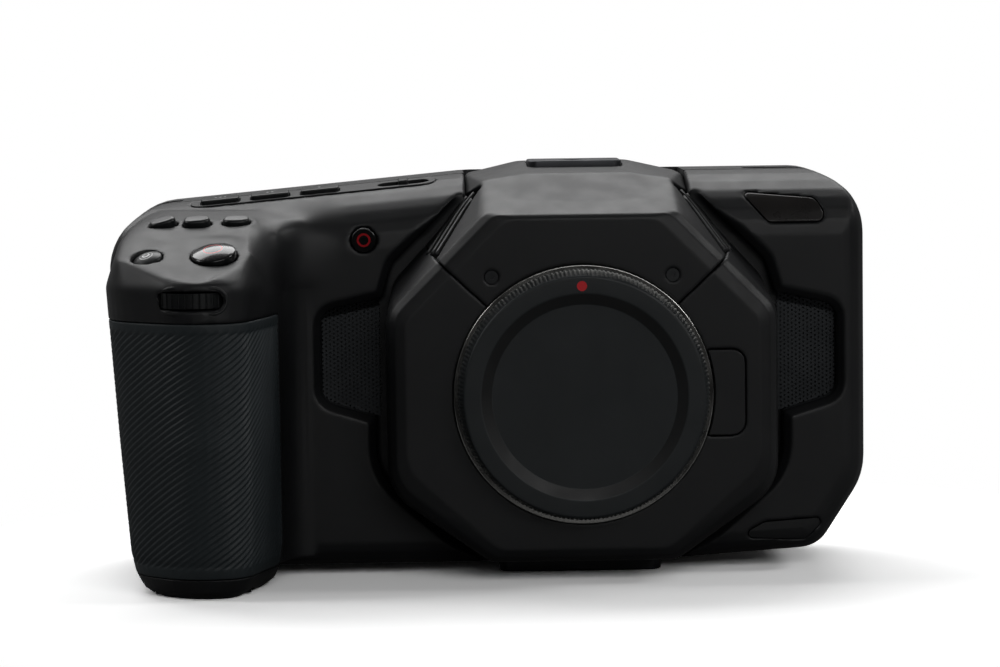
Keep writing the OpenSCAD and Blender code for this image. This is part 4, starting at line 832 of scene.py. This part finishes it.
table_top = bmesh.new()
bmesh.ops.create_grid(table_top, x_segments=1, y_segments=1, size=2.5)
bmesh.ops.translate(table_top, verts=table_top.verts, vec=(0, 0, cad_low.z))
floor = bpy.data.objects.new("table_top", to_mesh(table_top, "table_top", smooth=False))
floor.data.materials.append(studio_white("white_table"))
bpy.context.collection.objects.link(floor)
floor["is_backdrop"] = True

# %% [markdown]
# The object stands in a light tent: the backdrop behind it is bright and the room in front of it is dark.
# The camera sees the tent as plain white.

# %% Tent
DARK_ROOM, BACKDROP = 0.045, 0.18       # strength of the light from the front and from behind

world = bpy.data.worlds.new("light_tent")
bpy.context.scene.world = world
world.use_nodes = True
tree = world.node_tree
tree.nodes.clear()
path = add(tree, "ShaderNodeLightPath")
towards = add(tree, "ShaderNodeTexCoord")
axes = add(tree, "ShaderNodeSeparateXYZ", {0: towards.outputs["Generated"]})
behind = add(tree, "ShaderNodeMapRange",
             {"Value": axes.outputs["Y"], "From Min": 0.1, "From Max": 0.8,
              "To Min": DARK_ROOM, "To Max": BACKDROP})
dim = add(tree, "ShaderNodeBackground", {"Color": (1, 1, 1, 1), "Strength": behind.outputs["Result"]})
bright = add(tree, "ShaderNodeBackground", {"Color": (1, 1, 1, 1), "Strength": 1.0})
tent = add(tree, "ShaderNodeMixShader",
           {0: path.outputs["Is Camera Ray"], 1: dim.outputs[0], 2: bright.outputs[0]})
output = add(tree, "ShaderNodeOutputWorld")
tree.links.new(tent.outputs[0], output.inputs["Surface"])

# %% [markdown]
# ## Lamps and camera
# A wide soft lamp hangs behind and above, so the top faces are grey and the front falls off to black. A
# small one in front lifts the marks and the ribs, and two panels draw the bright arcs on the steel ring.


# %% Lamps
def lamp(name, place, aim, width, height, watts):
    data = bpy.data.lights.new(name, "AREA")
    data.shape, data.size, data.size_y, data.energy = "RECTANGLE", width, height, watts
    made = bpy.data.objects.new(name, data)
    bpy.context.collection.objects.link(made)
    made.location = place
    made.rotation_mode = "QUATERNION"
    made.rotation_quaternion = (Vector(aim) - Vector(place)).to_track_quat("-Z", "Y")
    made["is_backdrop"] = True


lamp("overhead_softbox", (-0.1, 0.62, 0.92), (0, 0, 0), 1.3, 0.6, 9)
lamp("front_softbox", (0.25, -0.85, 0.4), (0, 0, 0.04), 0.8, 0.35, 1.5)
lamp("left_panel", (-1.0, -0.05, 0.75), (0, 0, 0.05), 0.3, 0.35, 1.8)
lamp("right_panel", (1.0, -0.05, 0.75), (0, 0, 0.05), 0.3, 0.35, 1.8)

# %% Camera
# place, turn, tilt and roll were fitted to the photograph's outline
CAMERA_AT, CAMERA_TURN, CAMERA_TILT, CAMERA_ROLL = (-0.0398, -0.837, 0.1263), -1.48, 4.82, -0.72

view = bpy.data.cameras.new("photo_camera")
view.lens, view.sensor_width = 127.8, 36
camera = bpy.data.objects.new("photo_camera", view)
bpy.context.collection.objects.link(camera)
camera.matrix_world = (
    Matrix.Translation(CAMERA_AT)
    @ Matrix.Rotation(radians(CAMERA_TURN), 4, "Z")
    @ Matrix.Rotation(radians(90 - CAMERA_TILT), 4, "X")
    @ Matrix.Rotation(radians(CAMERA_ROLL), 4, "Z")
)
bpy.context.scene.camera = camera
bpy.context.scene.view_settings.view_transform = "Standard"

# %% [markdown]
# ## Size of the dressed camera
# The dressed camera should fill the same box as the CAD model. Its box is measured here in the same way.

# %% Finish
low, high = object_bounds()
